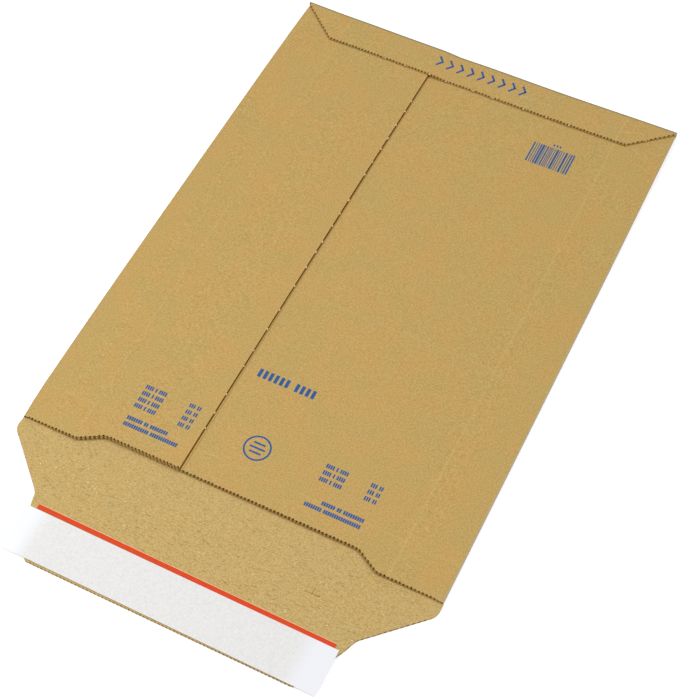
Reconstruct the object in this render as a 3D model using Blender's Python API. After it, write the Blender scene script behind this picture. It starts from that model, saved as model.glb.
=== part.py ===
"""Cardboard mailer: a pouch folded from one corrugated sheet, with a hinged closing flap.

The pack lies on its front panel with the glued seam up. X runs across it, Y along it towards the end
fold, and Z up. The origin is under the middle of the open pack. All sizes are in metres.
"""
import math

import bmesh
import bpy
import numpy as np
from mathutils import Matrix, Vector

# Board: two liners with a fluted medium between them, the flutes running along Y
BOARD = 0.00115
LINER = 0.00018
MEDIUM_LAND = 0.00012
FLUTE_PITCH = 0.002035
BLIND_MARGIN = 0.0025

# Pouch
POUCH_WIDTH = 0.234
POUCH_LENGTH = 0.330
MOUTH_SETBACK = 0.0087
SEAM_FROM_LEFT = 0.088
GLUE_MARGIN = 0.030
FOLD_GAP = 0.0003
MOUTH_GAP = 0.0009
MARGIN_GAP = 0.0006
CROWN_RUN = 0.045
RAMP_CLEARANCE = 0.004
SCORE_INSET = 0.0297
SCORE_WIDTH = 0.0012
SCORE_DEPTH = 0.00008

# Thumb recess in the back panels' opening edge
RECESS_DEPTH = 0.0073
RECESS_RUN = 0.0130
RECESS_RADIUS = 0.0080
RECESS_LEFT_INSET = 0.0318
RECESS_RIGHT_INSET = 0.0356

# End flap, folded over the closed end and glued down
END_FLAP_LENGTH = 0.0214
END_FLAP_LEFT_INSET = 0.0237
END_FLAP_RIGHT_INSET = 0.0234
END_CORNER_LAND = 0.0020
END_FOLD_GAP = 0.0005
END_BEND_RADIUS = 0.0002
END_SETTLE_RUN = 0.030
END_LEG_LAP = 0.0010

# Closing flap: wide at the crease, then shoulders, a short waist and a narrowing tab
FLAP_LENGTH = 0.060
SHOULDER_INSET = 0.0286
SHOULDER_LENGTH = 0.0262
WAIST_INSET = 0.0316
WAIST_LENGTH = 0.0340
TIP_INSET = 0.0430
ROOT_RISE = 0.0010
ROOT_RADIUS = 0.0045
SHOULDER_RADIUS = 0.0040
WAIST_RADIUS = 0.0080
TIP_RADIUS = 0.0030
CREASE_GAP = 0.0003
CLOSED_CLEARANCE = 0.00035

# Films on the closing flap's inner face
FILM_GAP = 0.00012
TEAR_THICKNESS = 0.00012
TEAR_WIDTH = 0.0026
TEAR_LENGTH = 0.1652
TEAR_SHIFT = -0.0016
TEAR_FROM_CREASE = 0.0326
TEAR_TILT = 0.5
RELEASE_THICKNESS = 0.00010
RELEASE_WIDTH = 0.0246
RELEASE_LENGTH = 0.1718
RELEASE_SHIFT = -0.0029
RELEASE_FROM_CREASE = 0.0463
RELEASE_TILT = 0.4
ADHESIVE_THICKNESS = 0.00010
ADHESIVE_MARGIN = 0.0040
ADHESIVE_END_MARGIN = 0.0180

# Glue between the layers
GLUE_THICKNESS = 0.00006
GLUE_GAP = 0.00012
SEAM_GLUE_WIDTH = 0.018
SEAM_GLUE_END_MARGIN = 0.010
END_GLUE_WIDTH = 0.010
END_GLUE_END_MARGIN = 0.004

# Facets
ARC_STEPS = 5
BEND_STEPS = 2
EASE_STEPS = 4

# Levels and lines that follow from the sizes above
HALF_WIDTH = POUCH_WIDTH / 2
END_Y = (POUCH_LENGTH + FLAP_LENGTH) / 2
CREASE_Y = END_Y - POUCH_LENGTH
MOUTH_Y = CREASE_Y + MOUTH_SETBACK
BACK_END_Y = END_Y - BOARD - END_FOLD_GAP
SEAM_X = SEAM_FROM_LEFT - HALF_WIDTH
MARGIN_X = SEAM_X - GLUE_MARGIN
FOLD_RADIUS = BOARD + FOLD_GAP / 2
FOLD_X = HALF_WIDTH - FOLD_RADIUS
GLUE_STACK = GLUE_THICKNESS + 2 * GLUE_GAP
CUT_MARGIN = 0.002
CUT_TOP = 12 * BOARD


def arc(centre_u, centre_v, radius, start_deg, end_deg, steps):
    """Points on a circular arc, both ends included."""
    angles = np.radians(np.linspace(start_deg, end_deg, steps + 1))
    return [(centre_u + radius * math.cos(a), centre_v + radius * math.sin(a)) for a in angles]


def rounded_corner(before, corner, after, radius, steps):
    """Points of the arc that rounds one corner of an outline."""
    corner = Vector(corner)
    to_before = (Vector(before) - corner).normalized()
    to_after = (Vector(after) - corner).normalized()
    half = to_before.angle(to_after) / 2
    centre = corner + (to_before + to_after).normalized() * (radius / math.sin(half))
    reach = radius / math.tan(half)
    start = corner + to_before * reach - centre
    sweep = start.angle_signed(corner + to_after * reach - centre)
    points = []
    for i in range(steps + 1):
        turned = start.copy()
        turned.rotate(Matrix.Rotation(-sweep * i / steps, 2))
        points.append(tuple(centre + turned))
    return points


def eased(knots):
    """A height profile across X that passes smoothly from each knot to the next."""
    points = [knots[0]]
    for (x0, z0), (x1, z1) in zip(knots, knots[1:]):
        steps = EASE_STEPS if abs(z1 - z0) > 1e-7 else 1
        for i in range(1, steps + 1):
            share = i / steps
            points.append((x0 + (x1 - x0) * share, z0 + (z1 - z0) * (1 - math.cos(math.pi * share)) / 2))
    return points


def height(profile, x):
    """The height of a profile at one place across the width."""
    xs, zs = zip(*profile)
    return float(np.interp(x, xs, zs))


def raised(profile, rise):
    """The same profile, higher by one amount."""
    return [(x, z + rise) for x, z in profile]


def scored(profile, x):
    """A top profile with a shallow score line pressed into it."""
    rim = SCORE_WIDTH / 2
    groove = [(x - rim, height(profile, x - rim)), (x, height(profile, x) - SCORE_DEPTH),
              (x + rim, height(profile, x + rim))]
    return [p for p in profile if p[0] < x - rim] + groove + [p for p in profile if p[0] > x + rim]


# Undersides of the two back panels, which stand a little proud of the front panel
RIGHT_UNDER = eased([(MARGIN_X, BOARD + MARGIN_GAP), (SEAM_X, BOARD + MOUTH_GAP),
                     (HALF_WIDTH - CROWN_RUN, BOARD + MOUTH_GAP), (FOLD_X, BOARD + FOLD_GAP)])
RIGHT_TOP = raised(RIGHT_UNDER, BOARD)
LAP_UNDER = [(x, z + GLUE_STACK) for x, z in RIGHT_TOP if x <= SEAM_X + 1e-9]
LEFT_UNDER = eased([(-FOLD_X, BOARD + FOLD_GAP), (MARGIN_X - RAMP_CLEARANCE, LAP_UNDER[0][1])]) + LAP_UNDER
LEFT_TOP = raised(LEFT_UNDER, BOARD)

# Underside of the end flap, which bridges the step at the seam
END_UNDER = ([(-HALF_WIDTH, LEFT_TOP[0][1] + GLUE_STACK)] + raised(LEFT_TOP, GLUE_STACK)
             + eased([(SEAM_X, LEFT_TOP[-1][1] + GLUE_STACK),
                      (SEAM_X + END_SETTLE_RUN, height(RIGHT_TOP, SEAM_X + END_SETTLE_RUN) + GLUE_STACK)])[1:]
             + [(x, z + GLUE_STACK) for x, z in RIGHT_TOP if x > SEAM_X + END_SETTLE_RUN + 1e-9]
             + [(HALF_WIDTH, RIGHT_TOP[-1][1] + GLUE_STACK)])

# The closing flap turns about a line above its crease, so that it shuts flat on the thickest layers
RELEASE_LEVEL = BOARD + FILM_GAP + ADHESIVE_THICKNESS + FILM_GAP
HINGE_Z = (LEFT_TOP[-1][1] + CLOSED_CLEARANCE + RELEASE_LEVEL + RELEASE_THICKNESS) / 2


def add_loft(bm, rings):
    """Add one closed solid that passes through rings of points, with its two ends capped."""
    loops = [[bm.verts.new(point) for point in ring] for ring in rings]
    count = len(loops[0])
    for lower, upper in zip(loops, loops[1:]):
        for i in range(count):
            j = (i + 1) % count
            bm.faces.new((lower[i], lower[j], upper[j], upper[i]))
    bm.faces.new(loops[0])
    bm.faces.new(loops[-1])


def solid(name, material, lofts):
    """An object made of one or more lofted solids, faces pointing out."""
    bm = bmesh.new()
    for rings in lofts:
        add_loft(bm, rings)
    bmesh.ops.recalc_face_normals(bm, faces=bm.faces)
    mesh = bpy.data.meshes.new(name)
    bm.to_mesh(mesh)
    bm.free()
    obj = bpy.data.objects.new(name, mesh)
    bpy.context.scene.collection.objects.link(obj)
    if material:
        mesh.materials.append(material)
    return obj


def plan_rings(outline, bottom, top):
    """Rings of an outline in plan, pulled up from one level to another."""
    return [[(x, y, bottom) for x, y in outline], [(x, y, top) for x, y in outline]]


def section_rings(section, start_y, end_y):
    """Rings of a section across the pack, pulled along Y."""
    return [[(x, start_y, z) for x, z in section], [(x, end_y, z) for x, z in section]]


def sheet_rings(profile, thickness, start_y, end_y):
    """Rings of a thin sheet that follows a height profile across the pack."""
    return [[(x, start_y, z), (x, end_y, z), (x, end_y, z + thickness), (x, start_y, z + thickness)]
            for x, z in profile]


def between(profile, start_x, end_x):
    """The stretch of a profile between two places across the width."""
    inner = [p for p in profile if start_x < p[0] < end_x]
    return [(start_x, height(profile, start_x))] + inner + [(end_x, height(profile, end_x))]


def flute_lofts(profile, start_x, end_x, start_y, end_y):
    """Air channels on both sides of the fluted medium, between the liners of one board."""
    lofts = []
    rise = BOARD - 2 * LINER - MEDIUM_LAND
    half_base = FLUTE_PITCH / 2 - MEDIUM_LAND
    half_steps = int((end_x - start_x) / (FLUTE_PITCH / 2)) - 1
    first_x = (start_x + end_x - (half_steps - 1) * FLUTE_PITCH / 2) / 2
    for i in range(half_steps):
        x = first_x + i * FLUTE_PITCH / 2
        if i % 2 == 0:
            base, tip = LINER, LINER + rise
        else:
            base, tip = BOARD - LINER, BOARD - LINER - rise
        corners = [(x - half_base, base), (x + half_base, base), (x, tip)]
        section = [(u, height(profile, u) + v) for u, v in corners]
        lofts.append(section_rings(section, start_y, end_y))
    return lofts


def cut_or_join(target, tool, operation):
    """Cut a guide solid from an object, or join it on."""
    tool.hide_render = True
    tool.display_type = "WIRE"
    modifier = target.modifiers.new(tool.name, "BOOLEAN")
    modifier.operation = operation
    modifier.solver = "EXACT"
    modifier.object = tool


def principled(name, srgb_hex, roughness, metallic=0.0):
    """A plain finish from an sRGB colour."""
    material = bpy.data.materials.new(name)
    material.use_nodes = True
    shader = material.node_tree.nodes["Principled BSDF"]
    channels = [int(srgb_hex[i:i + 2], 16) / 255 for i in (0, 2, 4)]
    linear = [c / 12.92 if c <= 0.04045 else ((c + 0.055) / 1.055) ** 2.4 for c in channels]
    shader.inputs["Base Color"].default_value = (*linear, 1.0)
    shader.inputs["Roughness"].default_value = roughness
    shader.inputs["Metallic"].default_value = metallic
    return material


def pouch_section():
    """The pouch seen from its mouth: front panel, two side folds and the lapped back panels."""
    inner = FOLD_GAP / 2
    left_top = scored(LEFT_TOP, SCORE_INSET - HALF_WIDTH)
    right_top = scored(RIGHT_TOP, HALF_WIDTH - SCORE_INSET)
    return (left_top[:0:-1]
            + arc(-FOLD_X, FOLD_RADIUS, FOLD_RADIUS, 90, 270, 2 * ARC_STEPS)
            + arc(FOLD_X, FOLD_RADIUS, FOLD_RADIUS, -90, 90, 2 * ARC_STEPS)
            + right_top[-2::-1]
            + RIGHT_UNDER[:-1]
            + arc(FOLD_X, FOLD_RADIUS, inner, 90, -90, 2 * BEND_STEPS)
            + arc(-FOLD_X, FOLD_RADIUS, inner, 270, 90, 2 * BEND_STEPS)
            + LEFT_UNDER[1:])


def end_flap_edge(x):
    """Where the end flap's free edge lies: straight across the middle, slanting to the corners."""
    corners_x = [-HALF_WIDTH, END_FLAP_LEFT_INSET - HALF_WIDTH, HALF_WIDTH - END_FLAP_RIGHT_INSET, HALF_WIDTH]
    lengths = [END_CORNER_LAND, END_FLAP_LENGTH, END_FLAP_LENGTH, END_CORNER_LAND]
    return END_Y - float(np.interp(x, corners_x, lengths))


def end_fold_rings():
    """The end flap with the bend that carries it up from the front panel, one ring for each X."""
    corners_x = {END_FLAP_LEFT_INSET - HALF_WIDTH, HALF_WIDTH - END_FLAP_RIGHT_INSET}
    stations = sorted(corners_x | {x for x, _ in END_UNDER})
    outer = BOARD + END_BEND_RADIUS
    bend_y = END_Y - outer
    leg_y = BACK_END_Y - END_LEG_LAP
    rings = []
    for x in stations:
        top = height(END_UNDER, x) + BOARD
        edge_y = end_flap_edge(x)
        section = ([(leg_y, 0.0)]
                   + arc(bend_y, outer, outer, -90, 0, BEND_STEPS)
                   + arc(bend_y, top - outer, outer, 0, 90, BEND_STEPS)
                   + [(edge_y, top), (edge_y, top - BOARD)]
                   + arc(bend_y, top - outer, END_BEND_RADIUS, 90, 0, BEND_STEPS)
                   + arc(bend_y, outer, END_BEND_RADIUS, 0, -90, BEND_STEPS)
                   + [(leg_y, BOARD)])
        rings.append([(x, y, z) for y, z in section])
    return rings


def mouth_outline():
    """Plan of what is cut away above the front panel to leave the back panels' opening edge."""
    outside_x = HALF_WIDTH + CUT_MARGIN
    outside_y = CREASE_Y - CUT_MARGIN
    recess_y = MOUTH_Y + RECESS_DEPTH
    left_x = RECESS_LEFT_INSET - HALF_WIDTH
    right_x = HALF_WIDTH - RECESS_RIGHT_INSET
    edge = [(outside_x, MOUTH_Y), (right_x, MOUTH_Y), (right_x - RECESS_RUN, recess_y),
            (left_x + RECESS_RUN, recess_y), (left_x, MOUTH_Y), (-outside_x, MOUTH_Y)]
    points = [(-outside_x, outside_y), (outside_x, outside_y), edge[0]]
    for before, corner, after in zip(edge, edge[1:], edge[2:]):
        points += rounded_corner(before, corner, after, RECESS_RADIUS, ARC_STEPS)
    return points + [edge[-1]]


def flap_side():
    """Corner points of the sheet's right side with the radius of each, from the crease to the flap's tip."""
    return [((HALF_WIDTH, CREASE_Y + ROOT_RISE), ROOT_RADIUS),
            ((HALF_WIDTH - SHOULDER_INSET, CREASE_Y - SHOULDER_LENGTH), SHOULDER_RADIUS),
            ((HALF_WIDTH - WAIST_INSET, CREASE_Y - WAIST_LENGTH), WAIST_RADIUS),
            ((HALF_WIDTH - TIP_INSET, CREASE_Y - FLAP_LENGTH), TIP_RADIUS)]


def rounded_side():
    """The sheet's right edge from the front panel round to the flap's tip, with its corners rounded."""
    corners = flap_side()
    line = [(HALF_WIDTH, MOUTH_Y)] + [point for point, _ in corners] + [(0.0, CREASE_Y - FLAP_LENGTH)]
    points = []
    for i, (_, radius) in enumerate(corners):
        points += rounded_corner(line[i], line[i + 1], line[i + 2], radius, ARC_STEPS)
    return points


def cross_at(points, y):
    """Where a side line that runs towards -Y crosses one level of Y."""
    for (x0, y0), (x1, y1) in zip(points, points[1:]):
        if y0 >= y > y1:
            return (x0 + (x1 - x0) * (y0 - y) / (y0 - y1), y)
    return (points[0][0], y)


def mirrored(points):
    """Points on the left for those on the right, in the order that closes an outline."""
    return [(-x, y) for x, y in reversed(points)]


def closing_flap_outline():
    """Plan of the closing flap on its side of the crease."""
    root_y = CREASE_Y - CREASE_GAP / 2
    side = rounded_side()
    right = [cross_at(side, root_y)] + [p for p in side if p[1] < root_y]
    return right + mirrored(right)


def root_corner_outline():
    """Plan of the scrap outside the rounded right corner of the front panel, at the crease."""
    side = rounded_side()
    end = cross_at(side, CREASE_Y - CREASE_GAP)
    kept = [p for p in side if p[1] > end[1]] + [end]
    return kept + [(HALF_WIDTH + CUT_MARGIN, end[1]), (HALF_WIDTH + CUT_MARGIN, kept[0][1])]


def turned_strip(name, material, size, centre, bottom, thickness, tilt):
    """A flat strip on the closing flap, turned a little in plan as it was laid."""
    half_x = size[0] / 2
    half_y = size[1] / 2
    turn = Matrix.Rotation(math.radians(-tilt), 2)
    corners = [Vector(p) for p in ((-half_x, -half_y), (half_x, -half_y), (half_x, half_y), (-half_x, half_y))]
    outline = [tuple(turn @ corner + Vector(centre)) for corner in corners]
    return solid(name, material, [plan_rings(outline, bottom, bottom + thickness)])


def build_pouch(kraft):
    """Front panel, side folds, back panels and end flap: one folded sheet."""
    front_y = CREASE_Y + CREASE_GAP / 2
    pouch = solid("pouch", kraft, [section_rings(pouch_section(), front_y, BACK_END_Y)])
    end_fold = solid("end_fold_guide", None, [end_fold_rings()])
    cut_or_join(pouch, end_fold, "UNION")
    mouth = solid("mouth_cutter", None, [plan_rings(mouth_outline(), FOLD_RADIUS, CUT_TOP)])
    cut_or_join(pouch, mouth, "DIFFERENCE")
    corner = root_corner_outline()
    scraps = [plan_rings(outline, -BOARD, 2 * BOARD) for outline in (corner, mirrored(corner))]
    cut_or_join(pouch, solid("corner_cutter", None, scraps), "DIFFERENCE")
    through_y = (BACK_END_Y + END_Y - BOARD) / 2
    end_start_y = END_Y - END_FLAP_LENGTH - CUT_MARGIN
    flutes = (flute_lofts(LEFT_UNDER, -FOLD_X, SEAM_X, MOUTH_Y - CUT_MARGIN, through_y)
              + flute_lofts(RIGHT_UNDER, MARGIN_X, FOLD_X, MOUTH_Y - CUT_MARGIN, through_y)
              + flute_lofts(END_UNDER, -HALF_WIDTH, HALF_WIDTH, end_start_y, END_Y - BLIND_MARGIN))
    cut_or_join(pouch, solid("pouch_flute_cutter", None, flutes), "DIFFERENCE")
    return pouch


def build_closing_flap(kraft):
    """The flap beyond the crease, its flutes open along every cut edge."""
    flap = solid("closing_flap", kraft, [plan_rings(closing_flap_outline(), 0.0, BOARD)])
    flat = [(-HALF_WIDTH, 0.0), (HALF_WIDTH, 0.0)]
    flutes = flute_lofts(flat, -HALF_WIDTH, HALF_WIDTH, CREASE_Y - FLAP_LENGTH - CUT_MARGIN,
                         CREASE_Y - BLIND_MARGIN)
    cut_or_join(flap, solid("flap_flute_cutter", None, flutes), "DIFFERENCE")
    return flap


def build_films(tear_plastic, adhesive, release_paper):
    """The tear strip, and the adhesive under its release liner."""
    tear = turned_strip("tear_strip", tear_plastic, (TEAR_LENGTH, TEAR_WIDTH),
                        (TEAR_SHIFT, CREASE_Y - TEAR_FROM_CREASE), BOARD + FILM_GAP, TEAR_THICKNESS, TEAR_TILT)
    centre = (RELEASE_SHIFT, CREASE_Y - RELEASE_FROM_CREASE)
    adhesive_size = (RELEASE_LENGTH - 2 * ADHESIVE_END_MARGIN, RELEASE_WIDTH - 2 * ADHESIVE_MARGIN)
    glue = turned_strip("adhesive_strip", adhesive, adhesive_size, centre, BOARD + FILM_GAP,
                        ADHESIVE_THICKNESS, RELEASE_TILT)
    release = turned_strip("release_liner", release_paper, (RELEASE_LENGTH, RELEASE_WIDTH), centre,
                           RELEASE_LEVEL, RELEASE_THICKNESS, RELEASE_TILT)
    return [tear, glue, release]


def build_glue(glue):
    """Glue under the lapped seam and under both halves of the end flap."""
    seam_middle = SEAM_X - GLUE_MARGIN / 2
    seam_start = MOUTH_Y + RECESS_DEPTH + SEAM_GLUE_END_MARGIN
    seam_line = raised(between(RIGHT_TOP, seam_middle - SEAM_GLUE_WIDTH / 2, seam_middle + SEAM_GLUE_WIDTH / 2),
                       GLUE_GAP)
    solid("seam_glue", glue, [sheet_rings(seam_line, GLUE_THICKNESS, seam_start,
                                          BACK_END_Y - SEAM_GLUE_END_MARGIN)])
    end_middle = END_Y - END_FLAP_LENGTH / 2
    stretches = {"end_glue_left": (LEFT_TOP, END_FLAP_LEFT_INSET - HALF_WIDTH, SEAM_X),
                 "end_glue_right": (RIGHT_TOP, SEAM_X + END_SETTLE_RUN, HALF_WIDTH - END_FLAP_RIGHT_INSET)}
    for name, (panel_top, start_x, end_x) in stretches.items():
        line = raised(between(panel_top, start_x + END_GLUE_END_MARGIN, end_x - END_GLUE_END_MARGIN), GLUE_GAP)
        solid(name, glue, [sheet_rings(line, GLUE_THICKNESS, end_middle - END_GLUE_WIDTH / 2,
                                       end_middle + END_GLUE_WIDTH / 2)])


def build():
    """Build the whole pack, its closing flap hung on a hinge line above the crease."""
    for obj in list(bpy.data.objects):
        bpy.data.objects.remove(obj, do_unlink=True)
    kraft = principled("brown_kraft_board", "C2A262", 0.85)
    tear_plastic = principled("orange_tear_tape", "E4562F", 0.45)
    adhesive = principled("clear_adhesive", "E8E4DA", 0.4)
    release_paper = principled("white_release_paper", "F1F1F4", 0.5)
    glue = principled("dried_glue", "E6DFC8", 0.6)
    build_pouch(kraft)
    build_glue(glue)
    hinge = bpy.data.objects.new("flap_hinge", None)
    hinge.location = (0.0, CREASE_Y, HINGE_Z)
    bpy.context.scene.collection.objects.link(hinge)
    to_hinge = Matrix.Translation(hinge.location).inverted()
    for piece in [build_closing_flap(kraft)] + build_films(tear_plastic, adhesive, release_paper):
        piece.parent = hinge
        piece.matrix_parent_inverse = to_hinge


build()
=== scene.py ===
"""Looks of a cardboard mailer: real liners and flutes, tapes, print and wear, in a pale studio.

Sizes are in metres unless a name says otherwise. X runs across the pack, Y along it towards its folded end,
and Z up. The levels and outlines repeat those of the part's source, so that every sheet lies on its solid.
"""
from __future__ import annotations

import logging
import math
from dataclasses import dataclass, field
from enum import Enum
from typing import Any, Sequence

import bmesh
import bpy
import numpy as np
from mathutils import Matrix, Vector

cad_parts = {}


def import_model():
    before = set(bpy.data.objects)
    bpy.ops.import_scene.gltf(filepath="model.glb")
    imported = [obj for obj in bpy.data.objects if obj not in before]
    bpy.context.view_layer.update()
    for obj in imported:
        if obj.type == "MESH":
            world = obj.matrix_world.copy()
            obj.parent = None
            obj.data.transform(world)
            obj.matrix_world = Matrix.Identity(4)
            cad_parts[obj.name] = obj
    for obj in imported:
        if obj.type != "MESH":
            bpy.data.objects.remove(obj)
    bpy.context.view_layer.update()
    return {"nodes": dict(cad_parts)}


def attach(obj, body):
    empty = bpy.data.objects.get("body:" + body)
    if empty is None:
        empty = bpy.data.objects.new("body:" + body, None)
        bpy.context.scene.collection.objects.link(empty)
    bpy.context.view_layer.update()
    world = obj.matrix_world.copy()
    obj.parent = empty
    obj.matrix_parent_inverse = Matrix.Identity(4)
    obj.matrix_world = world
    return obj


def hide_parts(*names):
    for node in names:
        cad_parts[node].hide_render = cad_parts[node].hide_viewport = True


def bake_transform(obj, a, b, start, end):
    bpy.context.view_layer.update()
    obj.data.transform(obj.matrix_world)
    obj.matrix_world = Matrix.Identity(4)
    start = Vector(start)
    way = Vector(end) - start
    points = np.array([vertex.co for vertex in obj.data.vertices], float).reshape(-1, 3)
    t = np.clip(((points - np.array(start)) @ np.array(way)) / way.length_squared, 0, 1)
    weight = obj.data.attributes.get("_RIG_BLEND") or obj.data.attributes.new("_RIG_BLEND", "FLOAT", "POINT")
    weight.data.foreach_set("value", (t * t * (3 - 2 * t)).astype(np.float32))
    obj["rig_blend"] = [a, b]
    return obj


LOG = logging.getLogger("mailer")
MM = 0.001
HAIR = 0.01 * MM
MERGE = 2e-7
TINY = 1e-9
FINE_STEP = 0.00034
COARSE_STEP = 0.0007
FLUTE_POINTS = 12
PRINT_UNIT = 0.000936
WHITE = (1.0, 1.0, 1.0, 1.0)
DOWN = np.array([0.0, 0.0, -1.0])
Profile = list[tuple[float, float]]
Range = tuple[float, float]
Point = tuple[float, float, float]
Tree = tuple[Any, dict[str, str]]


class Side(Enum):
    """The two faces of the corrugated sheet."""

    OUTER = "outer"
    INNER = "inner"


class Body(Enum):
    """The bodies of the frame that pieces ride on."""

    POUCH = "pouch_body"
    FLAP = "flap_body"


# Shapes of sheets


def smooth(value: np.ndarray | float, start: float, end: float) -> np.ndarray:
    """A smooth rise from nought at start to one at end."""
    t = np.clip((np.asarray(value, float) - start) / (end - start), 0.0, 1.0)
    return t * t * (3.0 - 2.0 * t)


def eased(knots: Profile, steps: int = 12) -> Profile:
    """A height profile across X that passes smoothly from each knot to the next.

    Args:
        knots: Places and heights, in order of X.
        steps: Points in each rise.

    Returns:
        The finer profile.
    """
    points = [knots[0]]
    for (x0, z0), (x1, z1) in zip(knots, knots[1:]):
        for share in (i / steps for i in range(1, steps + 1)):
            risen = (1 - math.cos(math.pi * share)) / 2
            points.append((x0 + (x1 - x0) * share, z0 + (z1 - z0) * risen))
    return points


def raised(profile: Profile, rise: float) -> Profile:
    """The same profile, higher by one amount."""
    return [(x, z + rise) for x, z in profile]


def level(profile: Profile, x: np.ndarray | float) -> np.ndarray:
    """The height of a profile at places across the width."""
    xs, zs = zip(*profile)
    return np.interp(x, xs, zs)


def blended(knots: Sequence[Range], places: np.ndarray, width: float, samples: int = 7) -> np.ndarray:
    """The values of a line of knots, with its corners rounded.

    Args:
        knots: Places and values, in order of place.
        places: Where the values are wanted.
        width: The stretch that each corner is rounded over.
        samples: Values that are averaged over that stretch.

    Returns:
        The values.
    """
    known, values = zip(*knots)
    shifts = np.linspace(-width / 2, width / 2, samples)
    return sum(np.interp(places + shift, known, values) for shift in shifts) / samples


def rounded_corner(before: Sequence[float], corner: Sequence[float], after: Sequence[float],
                   radius: float, steps: int = 10) -> Profile:
    """Points of the arc that rounds one corner of an outline.

    Args:
        before: The outline's point before the corner.
        corner: The corner.
        after: The point after it.
        radius: The arc's radius.
        steps: Chords in the arc.

    Returns:
        The arc's points, in the outline's order.
    """
    middle = Vector(corner)
    to_before = (Vector(before) - middle).normalized()
    to_after = (Vector(after) - middle).normalized()
    half = to_before.angle(to_after) / 2
    centre = middle + (to_before + to_after).normalized() * (radius / math.sin(half))
    reach = radius / math.tan(half)
    start = middle + to_before * reach - centre
    sweep = start.angle_signed(middle + to_after * reach - centre)
    points = []
    for i in range(steps + 1):
        turned = start.copy()
        turned.rotate(Matrix.Rotation(-sweep * i / steps, 2))
        points.append(tuple(centre + turned))
    return points


def spread(x: Any, y: Any, z: Any) -> np.ndarray:
    """Points from three arrays, each of them spread over the grid that they share."""
    return np.stack(np.broadcast_arrays(x, y, z), -1)


def grid_quads(shape: Sequence[int]) -> tuple[np.ndarray, np.ndarray]:
    """The point numbers of a grid, and the corners of the squares between them.

    Args:
        shape: Its columns and rows.

    Returns:
        Columns by rows of numbers, and one row of four for each square.
    """
    index = np.arange(shape[0] * shape[1]).reshape(shape[0], shape[1])
    corners = [index[:-1, :-1], index[1:, :-1], index[1:, 1:], index[:-1, 1:]]
    return index, np.stack(corners, -1).reshape(-1, 4)


def linked(name: str, data: Any) -> bpy.types.Object:
    """A new object in the scene, at the origin."""
    obj = bpy.data.objects.new(name, data)
    bpy.context.scene.collection.objects.link(obj)
    return obj


def finish_mesh(name: str, mesh: bpy.types.Mesh, angle: float = 38.0) -> bpy.types.Object:
    """Merge doubles, turn the faces outwards, shade softly between sharp edges and link the object.

    Args:
        name: The piece's name.
        mesh: Its mesh, in place.
        angle: Edges sharper than this many degrees stay sharp.

    Returns:
        The new object, at the origin.
    """
    bm = bmesh.new()
    bm.from_mesh(mesh)
    bmesh.ops.remove_doubles(bm, verts=bm.verts, dist=MERGE)
    bmesh.ops.recalc_face_normals(bm, faces=bm.faces)
    bm.to_mesh(mesh)
    bm.free()
    mesh.shade_smooth()
    mesh.set_sharp_from_angle(angle=math.radians(angle))
    mesh.name = name
    return linked(name, mesh)


def closed_sheet(name: str, lower: np.ndarray, upper: np.ndarray,
                 *materials: bpy.types.Material) -> bpy.types.Object:
    """A closed sheet between two grids of points.

    Args:
        name: The piece's name.
        lower: Points of the underside, columns by rows by three.
        upper: Points of the top side, in the same order.
        materials: One for the whole sheet, or a second one for its underside.

    Returns:
        The new object, at the origin.
    """
    index, quads = grid_quads(lower.shape)
    rim = np.concatenate([index[:, 0], index[-1, 1:], index[-2::-1, -1], index[0, -2:0:-1]])
    ahead = np.roll(rim, -1)
    walls = np.stack([rim, ahead, ahead + index.size, rim + index.size], -1)
    faces = np.concatenate([quads[:, ::-1], quads + index.size, walls])
    mesh = bpy.data.meshes.new(name)
    points = np.concatenate([lower.reshape(-1, 3), upper.reshape(-1, 3)])
    mesh.from_pydata(points.tolist(), [], faces.tolist())
    for material in materials:
        mesh.materials.append(material)
    slots = np.zeros(len(faces), np.int32)
    slots[:len(quads)] = len(materials) - 1
    mesh.polygons.foreach_set("material_index", slots)
    return finish_mesh(name, mesh)


def place(body: Body, slot: str | None, node: str | None, *pieces: bpy.types.Object
          ) -> list[bpy.types.Object]:
    """Let pieces ride on their body, and hide the CAD node that they stand for.

    Args:
        body: The body.
        slot: Not used.
        node: The CAD node, or none.
        pieces: The pieces.

    Returns:
        The pieces.
    """
    for piece in pieces:
        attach(piece, body.value)
        if node:
            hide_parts(node)
        LOG.info("%s: %d faces on %s", piece.name, len(piece.data.polygons), body.value)
    return list(pieces)


# Nodes


def feed(tree: Any, node: bpy.types.Node, inputs: dict[Any, Any]) -> None:
    """Set or link a node's inputs.

    Args:
        tree: The node's tree.
        node: The node.
        inputs: Values or output sockets, by the input's name or number.
    """
    for key, value in inputs.items():
        if isinstance(value, bpy.types.NodeSocket):
            tree.links.new(value, node.inputs[key])
        else:
            node.inputs[key].default_value = value


def add(tree: Any, kind: str, inputs: dict[Any, Any] | None = None, **settings: Any) -> bpy.types.Node:
    """Add a node, with its settings, values and links.

    Args:
        tree: The shader or geometry tree to add to.
        kind: The node's type name.
        inputs: Values or output sockets for its inputs, by name or number.
        settings: Properties of the node.

    Returns:
        The new node.
    """
    node = tree.nodes.new(kind)
    for key, value in settings.items():
        setattr(node, key, value)
    feed(tree, node, inputs or {})
    return node


def worked(tree: Any, operation: str, *values: Any, kind: str = "Math") -> Any:
    """The socket of a sum done on values or sockets, by a Math or a VectorMath node."""
    return add(tree, "ShaderNode" + kind, dict(enumerate(values)), operation=operation).outputs[0]


def scaled(tree: Any, vector: Any, scale: Any) -> Any:
    """The socket of a vector times a number."""
    return add(tree, "ShaderNodeVectorMath", {0: vector, "Scale": scale}, operation="SCALE").outputs[0]


def upright(tree: Any, z: Any) -> Any:
    """The socket of a vector that has only a Z."""
    return add(tree, "ShaderNodeCombineXYZ", {"Z": z}).outputs[0]


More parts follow.
